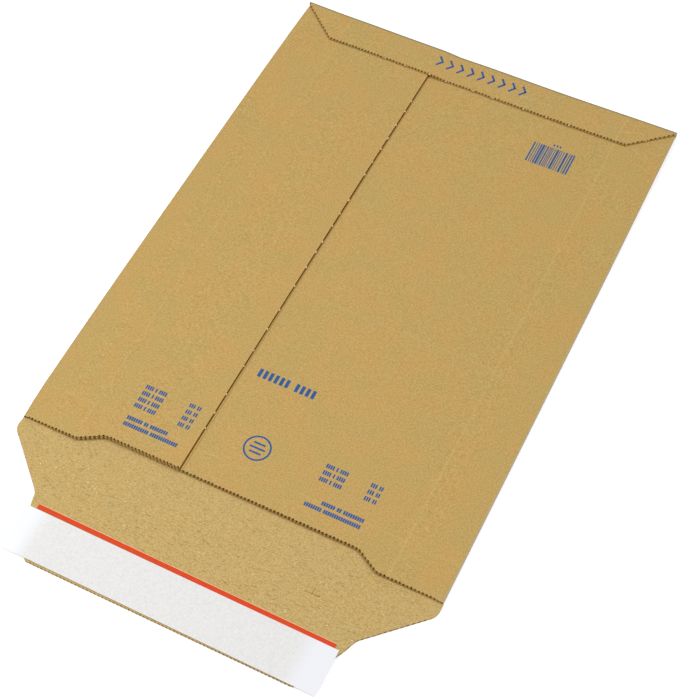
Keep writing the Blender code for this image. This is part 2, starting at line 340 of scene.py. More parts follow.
def named(tree: Any, name: str, kind: str = "FLOAT") -> Any:
    """The socket of a carrier's named values."""
    return add(tree, "GeometryNodeInputNamedAttribute", {"Name": name}, data_type=kind).outputs[0]


def ranged(tree: Any, value: Any, bounds: Range, top: float = 1.0, kind: str = "LINEAR") -> Any:
    """The socket of a value's share of the way between two bounds, times the top."""
    return add(tree, "ShaderNodeMapRange", {"Value": value, "From Min": bounds[0], "From Max": bounds[1],
                                            "To Max": top}, interpolation_type=kind).outputs["Result"]


def linear(srgb_hex: str) -> tuple[float, float, float, float]:
    """Turn an sRGB colour into the linear values that shaders take.

    Args:
        srgb_hex: Six hex digits, red first.

    Returns:
        Red, green, blue and an alpha of one.
    """
    channels = [int(srgb_hex[i:i + 2], 16) / 255 for i in (0, 2, 4)]
    values = [c / 12.92 if c <= 0.04045 else ((c + 0.055) / 1.055) ** 2.4 for c in channels]
    return (values[0], values[1], values[2], 1.0)


def mixed(tree: Any, share: Any, tone: Any, added: str) -> Any:
    """The socket of a tone, itself a socket or an sRGB hex, with a share of another hex mixed in."""
    base = linear(tone) if isinstance(tone, str) else tone
    values = {"Factor": share, 6: base, 7: linear(added)}
    return add(tree, "ShaderNodeMix", values, data_type="RGBA").outputs[2]


def bumped(tree: Any, height: Any, strength: float, distance: float, **normal: Any) -> Any:
    """The socket of a normal bent by a height, on top of a Normal where one is given."""
    return add(tree, "ShaderNodeBump", {"Height": height, "Strength": strength, "Distance": distance,
                                        **normal}).outputs["Normal"]


def new_material(name: str) -> tuple[bpy.types.Material, Any, Any, Any]:
    """Start a material.

    Args:
        name: Its name.

    Returns:
        The material, its tree, its shader and the socket of the place on the object.
    """
    material = bpy.data.materials.new(name)
    material.use_nodes = True
    tree = material.node_tree
    return material, tree, tree.nodes["Principled BSDF"], add(tree, "ShaderNodeTexCoord").outputs["Object"]


def new_tree(name: str, sockets: Sequence[tuple[str, str, Any]]) -> tuple[Any, Any, dict[str, str]]:
    """Start a geometry tree with named inputs.

    Args:
        name: The tree's name.
        sockets: Name, kind and default of each input after the geometry.

    Returns:
        The tree, the sockets of its inputs by name, and the identifier of each named input.
    """
    tree = bpy.data.node_groups.new(name, "GeometryNodeTree")
    tree.interface.new_socket("Geometry", in_out="INPUT", socket_type="NodeSocketGeometry")
    identifiers = {}
    for label, kind, default in sockets:
        socket = tree.interface.new_socket(label, in_out="INPUT", socket_type="NodeSocket" + kind)
        if default is not None:
            socket.default_value = default
        identifiers[label] = socket.identifier
    tree.interface.new_socket("Geometry", in_out="OUTPUT", socket_type="NodeSocketGeometry")
    return tree, tree.nodes.new("NodeGroupInput").outputs, identifiers


def on_points(tree: Any, points: Any, shape: Any, size: Any) -> Any:
    """Set a shape on each point, turned by the carrier's named turn.

    Args:
        tree: The geometry tree.
        points: The socket of the points.
        shape: The socket of the shape.
        size: The socket of its size at each point.

    Returns:
        The socket of the real mesh.
    """
    laid = add(tree, "GeometryNodeInstanceOnPoints",
               {"Points": points, "Instance": shape, "Rotation": upright(tree, named(tree, "turn")),
                "Scale": size})
    return add(tree, "GeometryNodeRealizeInstances", {"Geometry": laid.outputs["Instances"]}).outputs[0]


def thickened(tree: Any, sheet: Any, depth: Any) -> Any:
    """Close an open sheet with a second face, and name the faces of its rim cut.

    Args:
        tree: The geometry tree.
        sheet: The socket of the sheet.
        depth: The socket of the way from it to the second face.

    Returns:
        The socket of the closed sheet.
    """
    thick = add(tree, "GeometryNodeExtrudeMesh", {"Mesh": sheet, "Offset": depth, "Individual": False},
                mode="FACES")
    marked = add(tree, "GeometryNodeStoreNamedAttribute",
                 {"Geometry": thick.outputs["Mesh"], "Name": "cut", "Value": thick.outputs["Side"]},
                 data_type="BOOLEAN", domain="FACE")
    back = add(tree, "GeometryNodeFlipFaces", {"Mesh": sheet})
    both = add(tree, "GeometryNodeJoinGeometry")
    for part in (marked.outputs["Geometry"], back.outputs["Mesh"]):
        tree.links.new(part, both.inputs["Geometry"])
    return add(tree, "GeometryNodeMergeByDistance",
               {"Geometry": both.outputs["Geometry"], "Distance": MERGE}).outputs["Geometry"]


def end_tree(tree: Any, geometry: Any, material: Any, where: Any = True) -> None:
    """End a tree in Realize Instances and Set Material.

    Args:
        tree: The geometry tree.
        geometry: The socket that holds the finished geometry.
        material: The socket that holds its material.
        where: The faces that take the material, all unless a socket says.
    """
    real = add(tree, "GeometryNodeRealizeInstances", {"Geometry": geometry})
    dressed = add(tree, "GeometryNodeSetMaterial",
                  {"Geometry": real.outputs["Geometry"], "Material": material, "Selection": where})
    add(tree, "NodeGroupOutput", {"Geometry": dressed.outputs["Geometry"]})


def grown(name: str, points: np.ndarray, fields: dict[str, Any], built: Tree, values: dict[str, Any]
          ) -> bpy.types.Object:
    """Run a geometry tree on a carrier with named values, and keep the result as a plain mesh.

    Args:
        name: The piece's name.
        points: Columns by rows by three for an open grid, or count by three for loose points.
        fields: Values for each point, one number or three.
        built: The geometry tree, and the identifier of each of its named inputs.
        values: The value of each named input.

    Returns:
        The new object, at the origin.
    """
    carrier = bpy.data.meshes.new(name)
    faces = grid_quads(points.shape)[1].tolist() if points.ndim == 3 else []
    carrier.from_pydata(points.reshape(-1, 3).tolist(), [], faces)
    for key, given in fields.items():
        given = np.asarray(given, float)
        wide = given.shape[-1] == 3 and given.ndim == points.ndim
        attribute = carrier.attributes.new(key, "FLOAT_VECTOR" if wide else "FLOAT", "POINT")
        attribute.data.foreach_set("vector" if wide else "value", given.reshape(-1))
    base = linked(name, carrier)
    modifier = base.modifiers.new(name, "NODES")
    modifier.node_group = built[0]
    for label, value in values.items():
        modifier[built[1][label]] = value
    bpy.context.view_layer.update()
    evaluated = base.evaluated_get(bpy.context.evaluated_depsgraph_get())
    mesh = bpy.data.meshes.new_from_object(evaluated)
    bpy.data.objects.remove(base)
    for key in [a.name for a in mesh.attributes if a.name in (*fields, "cut")]:
        mesh.attributes.remove(mesh.attributes[key])
    return finish_mesh(name, mesh)


# Finishes


@dataclass(frozen=True)
class Grain:
    """A paper's noise: its scale, levels of detail, roughness, and stretch along the axes."""

    scale: float
    detail: float = 3.0
    roughness: float = 0.5
    stretch: Point = (1.0, 1.0, 1.0)

    def noise(self, tree: Any, place_of: Any) -> Any:
        """The socket of the noise at each place."""
        along = add(tree, "ShaderNodeMapping", {"Vector": place_of, "Scale": self.stretch})
        return add(tree, "ShaderNodeTexNoise",
                   {"Vector": along.outputs["Vector"], "Scale": self.scale, "Detail": self.detail,
                    "Roughness": self.roughness}).outputs["Fac"]


@dataclass(frozen=True)
class ScoreOrPaintedFoldLine:
    """A straight line in a liner's face: a score or roller mark, or painted shade or a painted highlight along
    a fold.
    """

    axis: str
    where: float
    share: float
    tone: str = "E2CB92"
    reach: float = 0.9 * MM
    core: float = 0.2


@dataclass(frozen=True)
class KraftLiner:
    """Brown recycled liner: paper pulp with long fibres, soft blotches and a dull calendered face.

    Clouds are blotches of 8 to 25 mm, where the pulp took up more or less water. Clumps are its formation,
    about 1.5 mm, a little longer along the machine direction, X. Fibres are single ones, 2 mm by 0.25 mm,
    drawn about twice as thick as real ones so that they show.
    """

    name: str
    base: str
    warm: str
    green: str
    fleck_dark: str
    fleck_pale: str
    blotch: float
    fleck: float
    marks: tuple[ScoreOrPaintedFoldLine, ...] = ()
    clouds: Grain = Grain(58.0, 3.0, 0.55)
    clumps: Grain = Grain(1500.0, 3.0, 0.6, (0.8, 1.0, 1.0))
    fibres: Grain = Grain(3200.0, 2.0, 0.5, (0.16, 1.0, 1.0))
    warm_clouds: Range = (0.42, 0.68)
    green_clouds: Range = (0.50, 0.30)
    green_share: float = 0.6
    dark_clumps: Range = (0.50, 0.27)
    pale_clumps: Range = (0.52, 0.76)
    dark_fibres: Range = (0.60, 0.74)
    fibre_share: float = 0.8
    washboard: float = 0.020 * MM
    clump_bump: float = 0.04 * MM
    clump_strength: float = 0.5
    roughness: float = 0.78
    ior: float = 1.45
    specular: float = 0.2

    def build(self) -> bpy.types.Material:
        """Build the liner's material.

        Returns:
            The material.
        """
        material, tree, shader, place_of = new_material(self.name)
        cloud, clump, fibre = (g.noise(tree, place_of) for g in (self.clouds, self.clumps, self.fibres))
        tone = mixed(tree, ranged(tree, cloud, self.warm_clouds, self.blotch), self.base, self.warm)
        for noise, bounds, share, added in (
                (cloud, self.green_clouds, self.blotch * self.green_share, self.green),
                (clump, self.dark_clumps, self.fleck, self.fleck_dark),
                (clump, self.pale_clumps, self.fleck, self.fleck_pale),
                (fibre, self.dark_fibres, self.fleck * self.fibre_share, self.fleck_dark)):
            tone = mixed(tree, ranged(tree, noise, bounds, share), tone, added)
        tone = self.scores_and_painted_fold_light(tree, place_of, tone)
        # Washboard: the flutes show through as faint ribs. A wave's period is tau over 20 at a scale of one
        ribs = add(tree, "ShaderNodeTexWave",
                   {"Vector": place_of, "Scale": math.tau / (20.0 * FLUTES.pitch), "Distortion": 0.0},
                   wave_type="BANDS", bands_direction="X", wave_profile="SIN")
        ribbed = bumped(tree, ribs.outputs["Fac"], 1.0, self.washboard)
        normal = bumped(tree, clump, self.clump_strength, self.clump_bump, Normal=ribbed)
        feed(tree, shader, {"Base Color": tone, "Normal": normal, "Roughness": self.roughness,
                            "IOR": self.ior, "Specular IOR Level": self.specular})
        return material

    def scores_and_painted_fold_light(self, tree: Any, place_of: Any, tone: Any) -> Any:
        """Mix in faint straight lines along or across the sheet: score and roller marks, and painted shade and
        painted highlights along folds.

        Args:
            tree: The material's tree.
            place_of: The socket of the place on the sheet.
            tone: The socket of the colour so far.

        Returns:
            The socket of the colour.
        """
        split = add(tree, "ShaderNodeSeparateXYZ", {"Vector": place_of})
        for mark in self.marks:
            off = worked(tree, "SUBTRACT", split.outputs[mark.axis], mark.where)
            bounds = (mark.reach, mark.reach * mark.core)
            line = ranged(tree, worked(tree, "ABSOLUTE", off), bounds, mark.share, "SMOOTHSTEP")
            tone = mixed(tree, line, tone, mark.tone)
        return tone


@dataclass(frozen=True)
class PlainFinish:
    """A finish of one colour with fine mottling, for films, ink, glue, cut board and the painted shade inside
    the flutes and at the seam.
    """

    name: str
    base: str
    shade: str
    grain_mm: float
    roughness: float
    specular: float = 0.5
    contrast: float = 0.6
    bump: float = 0.0
    bump_strength: float = 0.6
    bounds: Range = (0.35, 0.70)

    def build(self) -> bpy.types.Material:
        """Build the material.

        Returns:
            The material.
        """
        material, tree, shader, place_of = new_material(self.name)
        grain = Grain(1.0 / (self.grain_mm * MM)).noise(tree, place_of)
        tone = mixed(tree, ranged(tree, grain, self.bounds, self.contrast), self.base, self.shade)
        feed(tree, shader, {"Base Color": tone, "Roughness": self.roughness,
                            "Specular IOR Level": self.specular})
        if self.bump > 0:
            feed(tree, shader, {"Normal": bumped(tree, grain, self.bump_strength, self.bump)})
        return material


@dataclass(frozen=True)
class ReleasePaper:
    """Siliconed paper: a warm grey on the board, whiter where its ends hang over the table."""

    name: str = "white_release_paper"
    middle: str = "EBEAE7"
    shade: str = "DEDDDF"
    ends: tuple[tuple[str, float, float], ...] = (("F6F7FC", -0.072, -0.012), ("F0F1F6", 0.062, 0.012))
    grain: Grain = Grain(950.0, 4.0)
    bounds: Range = (0.38, 0.68)
    contrast: float = 0.75
    bump: float = 0.04 * MM
    bump_strength: float = 0.7
    roughness: float = 0.45

    def build(self) -> bpy.types.Material:
        """Build the material.

        Returns:
            The material.
        """
        material, tree, shader, place_of = new_material(self.name)
        grain = self.grain.noise(tree, place_of)
        tone = mixed(tree, ranged(tree, grain, self.bounds, self.contrast), self.middle, self.shade)
        split = add(tree, "ShaderNodeSeparateXYZ", {"Vector": place_of})
        for colour, edge, run in self.ends:
            beyond = ranged(tree, split.outputs["X"], (edge, edge + run), kind="SMOOTHSTEP")
            tone = mixed(tree, beyond, tone, colour)
        feed(tree, shader, {"Base Color": tone, "Normal": bumped(tree, grain, self.bump_strength, self.bump),
                            "Roughness": self.roughness})
        return material


# The board, and the lines that the whole pack shares


@dataclass(frozen=True)
class Flutes:
    """The corrugated stock: two liners and a fluted medium, its flutes running along Y.

    A tooth row says how far in it lies between the teeth and on one, and how far a tooth is bent down there.
    """

    board: float = 0.00115
    liner: float = 0.00018
    medium: float = 0.00020
    pitch: float = 0.002035
    crest: float = 1.5
    nibble: float = 0.00075
    bite: Range = (-0.35, 0.55)
    uneven: Range = (0.85, 0.30)
    uneven_waves: Range = (1311.0, 487.0)
    tooth_rows: tuple[Point, ...] = (
        (0.0, -0.00035, 0.00150), (0.00005, -0.00012, 0.00075), (0.00022, 0.00020, 0.00005))

    @property
    def wave(self) -> float:
        """Half the height of the flutes at the middle of the medium."""
        return (self.board - 2 * self.liner - self.medium) / 2

    def between(self, arc: np.ndarray, side: Side) -> np.ndarray:
        """One between the crests that hold a liner of that side, nought on them."""
        away = np.sin(arc / self.pitch * math.tau) * (-1.0 if side is Side.OUTER else 1.0)
        return smooth(away, *self.bite)

    def nibbled(self, arc: np.ndarray, side: Side) -> np.ndarray:
        """How far a cutting rule has pushed a liner's edge back between the crests that hold it.

        Args:
            arc: Places across the flutes.
            side: The liner's side of the board.

        Returns:
            The setback at each place.
        """
        first, second = (np.sin(arc * wave) for wave in self.uneven_waves)
        return self.nibble * (self.uneven[0] + self.uneven[1] * first * second) * self.between(arc, side)

    def toothed(self, arc: np.ndarray, where: np.ndarray | float = 1.0
                ) -> list[tuple[np.ndarray, np.ndarray]]:
        """The rows along an edge whose outer liner a serrated rule has bent down at each crest.

        Args:
            arc: Places across the flutes.
            where: One where the edge has teeth, nought where it has none.

        Returns:
            For each row, from the edge inwards: how far in it lies, and how far it is bent down.
        """
        tooth = (1.0 - self.between(arc, Side.OUTER)) * where
        return [(between + (on - between) * tooth, drop * tooth) for between, on, drop in self.tooth_rows]


FLUTES = Flutes()
BOARD = FLUTES.board


@dataclass(frozen=True)
class PackLines:
    """Levels and outlines that the sheets of the pack are cut and laid to.

    A flap corner is a place on the right of the flap's outline and the radius that it is rounded by.
    """

    half_width: float = 0.117
    end_y: float = 0.195
    crease_y: float = -0.135
    mouth_y: float = -0.1263
    back_end_y: float = 0.19335
    seam_x: float = -0.029
    margin_x: float = -0.059
    fold_radius: float = 0.0013
    fold_gap: float = 0.0003
    mouth_gap: float = 0.0009
    margin_gap: float = 0.0006
    crown_run: float = 0.045
    ramp_clearance: float = 0.004
    glue_stack: float = 0.0003
    settle_run: float = 0.014
    score_inset: float = 0.0297
    score_half: float = 0.0007
    score_depth: float = 0.00010
    recess_depth: float = 0.0073
    recess_run: float = 0.0130
    recess_radius: float = 0.0080
    recess_left: float = 0.0318
    recess_right: float = 0.0356
    flap_corners: tuple[Point, ...] = ((0.117, -0.1333, 0.0085), (0.0880, -0.1614, 0.004),
                                       (0.0850, -0.169, 0.008), (0.072, -0.195, 0.003))
    band: float = 0.0010

    @property
    def fold_x(self) -> float:
        """Where the flat panels end and the side folds start."""
        return self.half_width - self.fold_radius

    def right_under(self) -> Profile:
        """Underside of the right back panel, crowned a little over the front panel."""
        return eased([(self.margin_x, BOARD + self.margin_gap), (self.seam_x, BOARD + self.mouth_gap),
                      (self.half_width - self.crown_run, BOARD + self.mouth_gap),
                      (self.fold_x, BOARD + self.fold_gap)])

    def left_under(self) -> Profile:
        """Underside of the left back panel, which climbs on to the right one's glue margin."""
        lap = [(x, z + BOARD + self.glue_stack) for x, z in self.right_under() if x <= self.seam_x + TINY]
        ramp = [(-self.fold_x, BOARD + self.fold_gap), (self.margin_x - self.ramp_clearance, lap[0][1])]
        return eased(ramp) + lap

    def end_under(self) -> Profile:
        """Underside of the end flap, which bridges the step at the seam.

        Returns:
            The profile.
        """
        settled = self.seam_x + self.settle_run
        left, right = (raised(panel, BOARD + self.glue_stack)
                       for panel in (self.left_under(), self.right_under()))
        bridge = eased([(self.seam_x, left[-1][1]), (settled, float(level(right, settled)))])
        beyond = [(x, z) for x, z in right if x > settled + TINY]
        return ([(-self.half_width, left[0][1])] + left + bridge[1:] + beyond
                + [(self.half_width, right[-1][1])])

    def mouth(self, x: np.ndarray | float) -> np.ndarray:
        """Y of the back panels' opening edge, with its shallow thumb recess.

        Args:
            x: Places across the width.

        Returns:
            Y at each place.
        """
        left, right = self.recess_left - self.half_width, self.half_width - self.recess_right
        deep = self.mouth_y + self.recess_depth
        corners = [(-self.half_width, self.mouth_y), (left, self.mouth_y), (left + self.recess_run, deep),
                   (right - self.recess_run, deep), (right, self.mouth_y), (self.half_width, self.mouth_y)]
        points = [corners[0]]
        for before, corner, after in zip(corners, corners[1:], corners[2:]):
            points += rounded_corner(before, corner, after, self.recess_radius)
        return level(points + corners[-1:], x)

    def side(self) -> np.ndarray:
        """The sheet's right edge, from the front panel round to the flap's tip, with its corners rounded.

        Returns:
            Its points.
        """
        corners = [(self.half_width, self.mouth_y), *(c[:2] for c in self.flap_corners),
                   (0.0, self.flap_corners[-1][1])]
        points = [corners[0]]
        for i, (_, _, radius) in enumerate(self.flap_corners):
            points += rounded_corner(*corners[i:i + 3], radius)
        return np.array(points + corners[-1:])

    def edge_y(self, x: np.ndarray) -> np.ndarray:
        """Y of the sheet's lower edge at places across the width, left and right alike."""
        side = self.side()
        order = np.argsort(side[:, 0], kind="stable")
        return np.interp(np.abs(x), side[order, 0], side[order, 1])

    def edge_x(self, y: np.ndarray | float) -> np.ndarray:
        """Half the width of the sheet at places along it, from the front panel to the flap's tip."""
        side = self.side()[::-1]
        return np.interp(y, side[:, 1], side[:, 0])


LINES = PackLines()


@dataclass(frozen=True)
class Settle:
    """How the glued pouch has settled: bowed at one side, its corners curled and its mouth a little open."""

    side_bow_mm: tuple[Range, ...] = (
        (-0.195, 3.5), (-0.172, 3.1), (-0.166, 1.95), (-0.163, 1.7), (-0.160, 0.4), (-0.150, 0.45),
        (-0.140, 0.5), (-0.136, 0.8), (-0.134, 0.9), (-0.130, 0.5), (-0.127, 0.20), (-0.122, 0.45),
        (-0.112, 1.20), (-0.090, 1.35), (-0.060, 1.55), (-0.020, 1.58), (0.020, 1.45), (0.060, 1.25),
        (0.100, 0.93), (0.140, 0.37), (0.160, 0.0), (0.178, -0.4), (0.195, -1.0))
    end_rise_mm: tuple[Range, ...] = (
        (-0.117, 1.35), (-0.112, 1.2), (-0.098, 0.48), (-0.084, -0.36), (-0.070, -0.91), (-0.056, -1.1),
        (-0.042, -1.2), (-0.028, -1.4), (-0.014, -0.9), (0.0, -0.3), (0.042, -0.3), (0.056, 0.04),
        (0.070, 0.29), (0.084, 0.79), (0.098, 1.5), (0.112, 1.95), (0.117, 2.05))
    bow_rounding: float = 0.004
    rise_rounding: float = 0.014
    back_levels: Range = (1.3 * MM, 2.2 * MM)
    lift_from: float = 0.06
    press_from: float = 0.10
    stack: float = 0.0058
    right_draw: float = 0.0003
    gape: float = 0.00025
    gape_run: float = 0.10
    gape_opens: Range = (-0.015, 0.035)
    gape_shuts: Range = (0.06, 0.112)
    seam_start: float = 0.00075
    seam_end: float = -0.0010
    seam_reach: float = 1e-6
    panel_slack: float = 0.15 * MM

    def move(self, points: np.ndarray) -> np.ndarray:
        """Move points of the pouch from where they were cut to where they lie.

        Args:
            points: Points with three values each, in any grid.

        Returns:
            The moved points.
        """
        x, y, z = points[..., 0], points[..., 1], points[..., 2]
        along = np.clip((y - LINES.crease_y) / (LINES.end_y - LINES.crease_y), 0.0, 1.0)
        lifts = smooth(y, self.lift_from, LINES.end_y)
        on_top = smooth(z, *self.back_levels)
        bowed = -blended(self.side_bow_mm, y, self.bow_rounding) * MM * smooth(-x, 0.0, LINES.half_width)
        drawn = -self.right_draw * smooth(x, 0.0, LINES.half_width) * lifts
        lap_share = np.clip((x + LINES.half_width) / (LINES.half_width + LINES.seam_x), 0.0, 1.0)
        under = level(LINES.left_under(), x)
        left_panel = (on_top * lap_share * (x <= LINES.seam_x + self.seam_reach) * (z > under - HAIR)
                      * (z < under + BOARD + self.panel_slack))
        skew = (self.seam_end + (self.seam_start - self.seam_end) * along) * left_panel
        rise = blended(self.end_rise_mm, x, self.rise_rounding) * MM
        curled = np.maximum(rise, 0.0) * lifts
        pressed = (np.minimum(rise, 0.0) * smooth(y, self.press_from, LINES.end_y)
                   * np.clip(z / self.stack, 0.0, 1.0))
        mouth = 1.0 - smooth(y, LINES.mouth_y, LINES.mouth_y + self.gape_run)
        open_x = smooth(x, *self.gape_opens) * (1.0 - smooth(x, *self.gape_shuts))
        gaping = self.gape * on_top * mouth * open_x
        return np.stack([x + bowed + drawn + skew, y, z + curled + pressed + gaping], -1)


SETTLE = Settle()


def settled_sheet(name: str, lower: np.ndarray, upper: np.ndarray, *materials: bpy.types.Material
                  ) -> bpy.types.Object:
    """A closed sheet that has settled with the pouch."""
    return closed_sheet(name, SETTLE.move(lower), SETTLE.move(upper), *materials)


def flute_tree() -> Tree:
    """A tree that presses flutes into a carrier sheet and gives it a paper's thickness.

    Returns:
        The tree and the identifier of each named input.
    """
    tree, given, names = new_tree("fluted_medium", [
        ("Pitch", "Float", FLUTES.pitch), ("Wave", "Float", FLUTES.wave), ("Crest", "Float", FLUTES.crest),
        ("Thickness", "Float", FLUTES.medium), ("Cut material", "Material", None),
        ("Material", "Material", None)])
    out = named(tree, "out", "FLOAT_VECTOR")
    angle = worked(tree, "MULTIPLY", worked(tree, "DIVIDE", named(tree, "arc"), given["Pitch"]), math.tau)
    rise = worked(tree, "MULTIPLY", worked(tree, "SINE", angle), given["Crest"])
    rise = add(tree, "ShaderNodeClamp", {"Value": rise, "Min": -1.0, "Max": 1.0}).outputs[0]
    rise = worked(tree, "MULTIPLY", worked(tree, "MULTIPLY", rise, given["Wave"]), named(tree, "open"))
    rise = worked(tree, "ADD", rise, worked(tree, "MULTIPLY", given["Thickness"], -0.5))
    waved = add(tree, "GeometryNodeSetPosition",
                {"Geometry": given["Geometry"], "Offset": scaled(tree, out, rise)})
    whole = thickened(tree, waved.outputs["Geometry"], scaled(tree, out, given["Thickness"]))
    edged = add(tree, "GeometryNodeSetMaterial", {"Geometry": whole, "Material": given["Cut material"]})
    inside = add(tree, "FunctionNodeBooleanMath", {0: named(tree, "cut", "BOOLEAN")}, operation="NOT")
    end_tree(tree, edged.outputs["Geometry"], given["Material"], inside.outputs[0])
    return tree, names


@dataclass
class BoardMaker:
    """Makes the three layers of a stretch of board from a grid through its middle."""

    outer: bpy.types.Material
    inner: bpy.types.Material
    # back and medium carry painted shade: dark colours on the liners' hidden faces and on the medium stand for
    # the shade inside the flutes
    back: bpy.types.Material
    medium: bpy.types.Material
    cut: bpy.types.Material
    built: Tree = field(default_factory=flute_tree)

    def liner(self, name: str, side: Side, middle: np.ndarray, out: np.ndarray,
              groove: np.ndarray | None = None) -> bpy.types.Object:
        """One liner of the board.

        Args:
            name: The piece's name.
            side: The face of the board that it lies on.
            middle: Points through the middle of the board.
            out: Directions from there to the outer face.
            groove: How far a score line sinks the liner at each point.

        Returns:
            The new object.
        """
        sunk = 0.0 if groove is None else groove[..., None]
        ways = out * (1.0 if side is Side.OUTER else -1.0)
        first, second = (middle + ways * (reach - sunk) for reach in (BOARD / 2 - FLUTES.liner, BOARD / 2))
        return settled_sheet(name, first, second, self.outer if side is Side.OUTER else self.inner, self.back)

    def flutes(self, name: str, middle: np.ndarray, out: np.ndarray, arc: np.ndarray,
               standing: np.ndarray | float = 1.0) -> bpy.types.Object:
        """The fluted medium of the board.

        Args:
            name: The piece's name.
            middle: Points through the middle of the board.
            out: Directions from there to the outer face.
            arc: Distance across the flutes at each point.
            standing: One where the flutes stand, nought where a fold has crushed them.

        Returns:
            The new object.
        """
        fields = {"arc": arc, "open": np.broadcast_to(standing, arc.shape), "out": out}
        return grown(name, SETTLE.move(middle), fields, self.built,
                     {"Pitch": FLUTES.pitch, "Wave": FLUTES.wave, "Crest": FLUTES.crest,
                      "Thickness": FLUTES.medium, "Material": self.medium, "Cut material": self.cut})


# The pouch


@dataclass
class Pouch:
    """Front panel, side folds and lapped back panels: one sheet folded round its two sides."""

    board: BoardMaker
    rows: int = 18
    fold_steps: int = 14
    seam_setback: float = 0.00048
    panels: tuple[tuple[str, str, int], ...] = (
        ("left_panel_flutes", "left", FLUTE_POINTS), ("front_panel_flutes", "front", 8),
        ("right_panel_flutes", "right", FLUTE_POINTS))

    def stretch(self, part: str, step: float, setback: float) -> np.ndarray:
        """One part of the folded section, through the middle of the board.

        Args:
            part: left, left_fold, front, right_fold or right.
            step: Distance between points on the flats.
            setback: How far short of the seam the left panel stops.

        Returns:
            Places in X and Z.
        """
        fold_x = LINES.fold_x
        if part.endswith("fold"):
            sign, first = (-1.0, math.pi / 2) if part == "left_fold" else (1.0, -math.pi / 2)
            angles = first + np.linspace(0.0, math.pi, self.fold_steps + 1)
            radius = LINES.fold_radius - BOARD / 2
            return np.stack([sign * fold_x + radius * np.cos(angles),
                             LINES.fold_radius + radius * np.sin(angles)], -1)
        flat = [(-LINES.half_width, 0.0), (LINES.half_width, 0.0)]
        start, end, under = {"left": (LINES.seam_x - setback, -fold_x, LINES.left_under()),
                             "front": (-fold_x, fold_x, flat),
                             "right": (fold_x, LINES.margin_x, LINES.right_under())}[part]
        xs = np.linspace(start, end, round(abs(end - start) / step) + 1)
        return np.stack([xs, level(under, xs) + BOARD / 2], -1)

    def path(self, step: float, parts: Sequence[str], setback: float
             ) -> tuple[np.ndarray, np.ndarray, np.ndarray]:
        """A run of the folded section, through the middle of the board.

        Args:
            step: Distance between points on the flats.
            parts: The parts that it takes in, in the order left, left_fold, front, right_fold, right.
            setback: How far short of the seam the left panel stops.

        Returns:
            Places, outward directions and the distance of each point from the start of its part.
        """
        stretches = [self.stretch(part, step, setback) for part in parts]
        points = np.concatenate([stretches[0]] + [s[1:] for s in stretches[1:]])
        tangent = np.gradient(points, axis=0)
        tangent /= np.linalg.norm(tangent, axis=1, keepdims=True)
        out = np.stack([tangent[:, 1], -tangent[:, 0]], -1)
        runs = [np.cumsum(np.linalg.norm(np.diff(s, axis=0), axis=1)) for s in stretches]
        return points, out, np.concatenate([[setback], runs[0] + setback, *runs[1:]])

    def grid(self, step: float, parts: Sequence[str], setback: float = 0.0
             ) -> tuple[np.ndarray, np.ndarray, np.ndarray]:
        """The middle of the board as a grid, cut to the mouth and the folded end.

        Args:
            step: Distance between columns on the flats.
            parts: The parts of the section that it takes in.
            setback: How far short of the seam it stops, for a liner whose edges are nibbled.

        Returns:
            Points, outward directions and distances across the flutes.
        """
        points, out, arc = self.path(step, parts, setback)
        upper = points[:, 1] > LINES.fold_radius
        front = np.where(upper, LINES.mouth(points[:, 0]), LINES.mouth_y)
        share = (1.0 - np.cos(np.linspace(0.0, math.pi, self.rows + 1))) / 2
        first, drop = front[:, None], np.zeros((len(front), 1))
        if setback > 0:
            toothed = upper * (np.abs(points[:, 0]) < LINES.fold_x - FLUTES.pitch)
            front = front + FLUTES.nibbled(arc, Side.OUTER) * toothed
            inwards, drops = zip(*FLUTES.toothed(arc, toothed))
            first, drop = front[:, None] + np.stack(inwards, 1), np.stack(drops, 1)
        y = np.concatenate([first, front[:, None] + (LINES.back_end_y - front)[:, None] * share[1:]], 1)
        z = np.repeat(points[:, 1:], y.shape[1], 1)
        z[:, :drop.shape[1]] -= drop
        return (spread(points[:, :1], y, z), spread(out[:, :1], np.zeros_like(y), out[:, 1:]),
                np.repeat(arc[:, None], y.shape[1], 1))

    def build(self) -> list[bpy.types.Object]:
        """Build both liners right round the section and the flutes of each panel.

        Returns:
            The pieces.
        """
        section = ("left", "left_fold", "front", "right_fold", "right")
        middle, out, _ = self.grid(FINE_STEP, section, self.seam_setback)
        off = np.abs(np.abs(middle[..., 0]) - (LINES.half_width - LINES.score_inset))
        scored = (1.0 - smooth(off, 0.0, LINES.score_half)) * (middle[..., 2] > LINES.fold_radius)
        pieces = [self.board.liner("pouch_outer_liner", Side.OUTER, middle, out, LINES.score_depth * scored)]
        pieces.append(self.board.liner("pouch_inner_liner", Side.INNER, *self.grid(COARSE_STEP, section)[:2]))
        pieces += [self.board.flutes(name, *self.grid(FLUTES.pitch / points, (part,)))
                   for name, part, points in self.panels]
        return place(Body.POUCH, "kraft_board", "pouch", *pieces)


@dataclass
class SeamEdge:
    """The left back panel's cut edge at the seam, crushed to a slope by the rule, in painted shade: a dark
    brown for the shaded gap at the seam.
    """

    material: bpy.types.Material
    thickness: float = 0.00008
    sink: float = 0.00012
    rows: int = 60

    def build(self, setback: float) -> None:
        """Build the slope from the left panel's outer face down to the right panel.

        Args:
            setback: How far the pouch's outer liner stops short of the seam.
        """
        high, low = LINES.seam_x - setback, LINES.seam_x - HAIR
        top = float(level(LINES.left_under(), high)) + BOARD
        foot = float(level(LINES.right_under(), low)) + BOARD
        y = np.linspace(float(LINES.mouth(low)) + FLUTES.nibble, LINES.back_end_y, self.rows)
        x = np.array([high, (high + low) / 2, low])[:, None]
        z = np.array([top - self.sink, (top + foot) / 2, foot + self.sink])[:, None]
        upper = spread(x, y, z)
        piece = settled_sheet("seam_cut_edge", upper + DOWN * self.thickness, upper, self.material)
        place(Body.POUCH, "kraft_board", "pouch", piece)


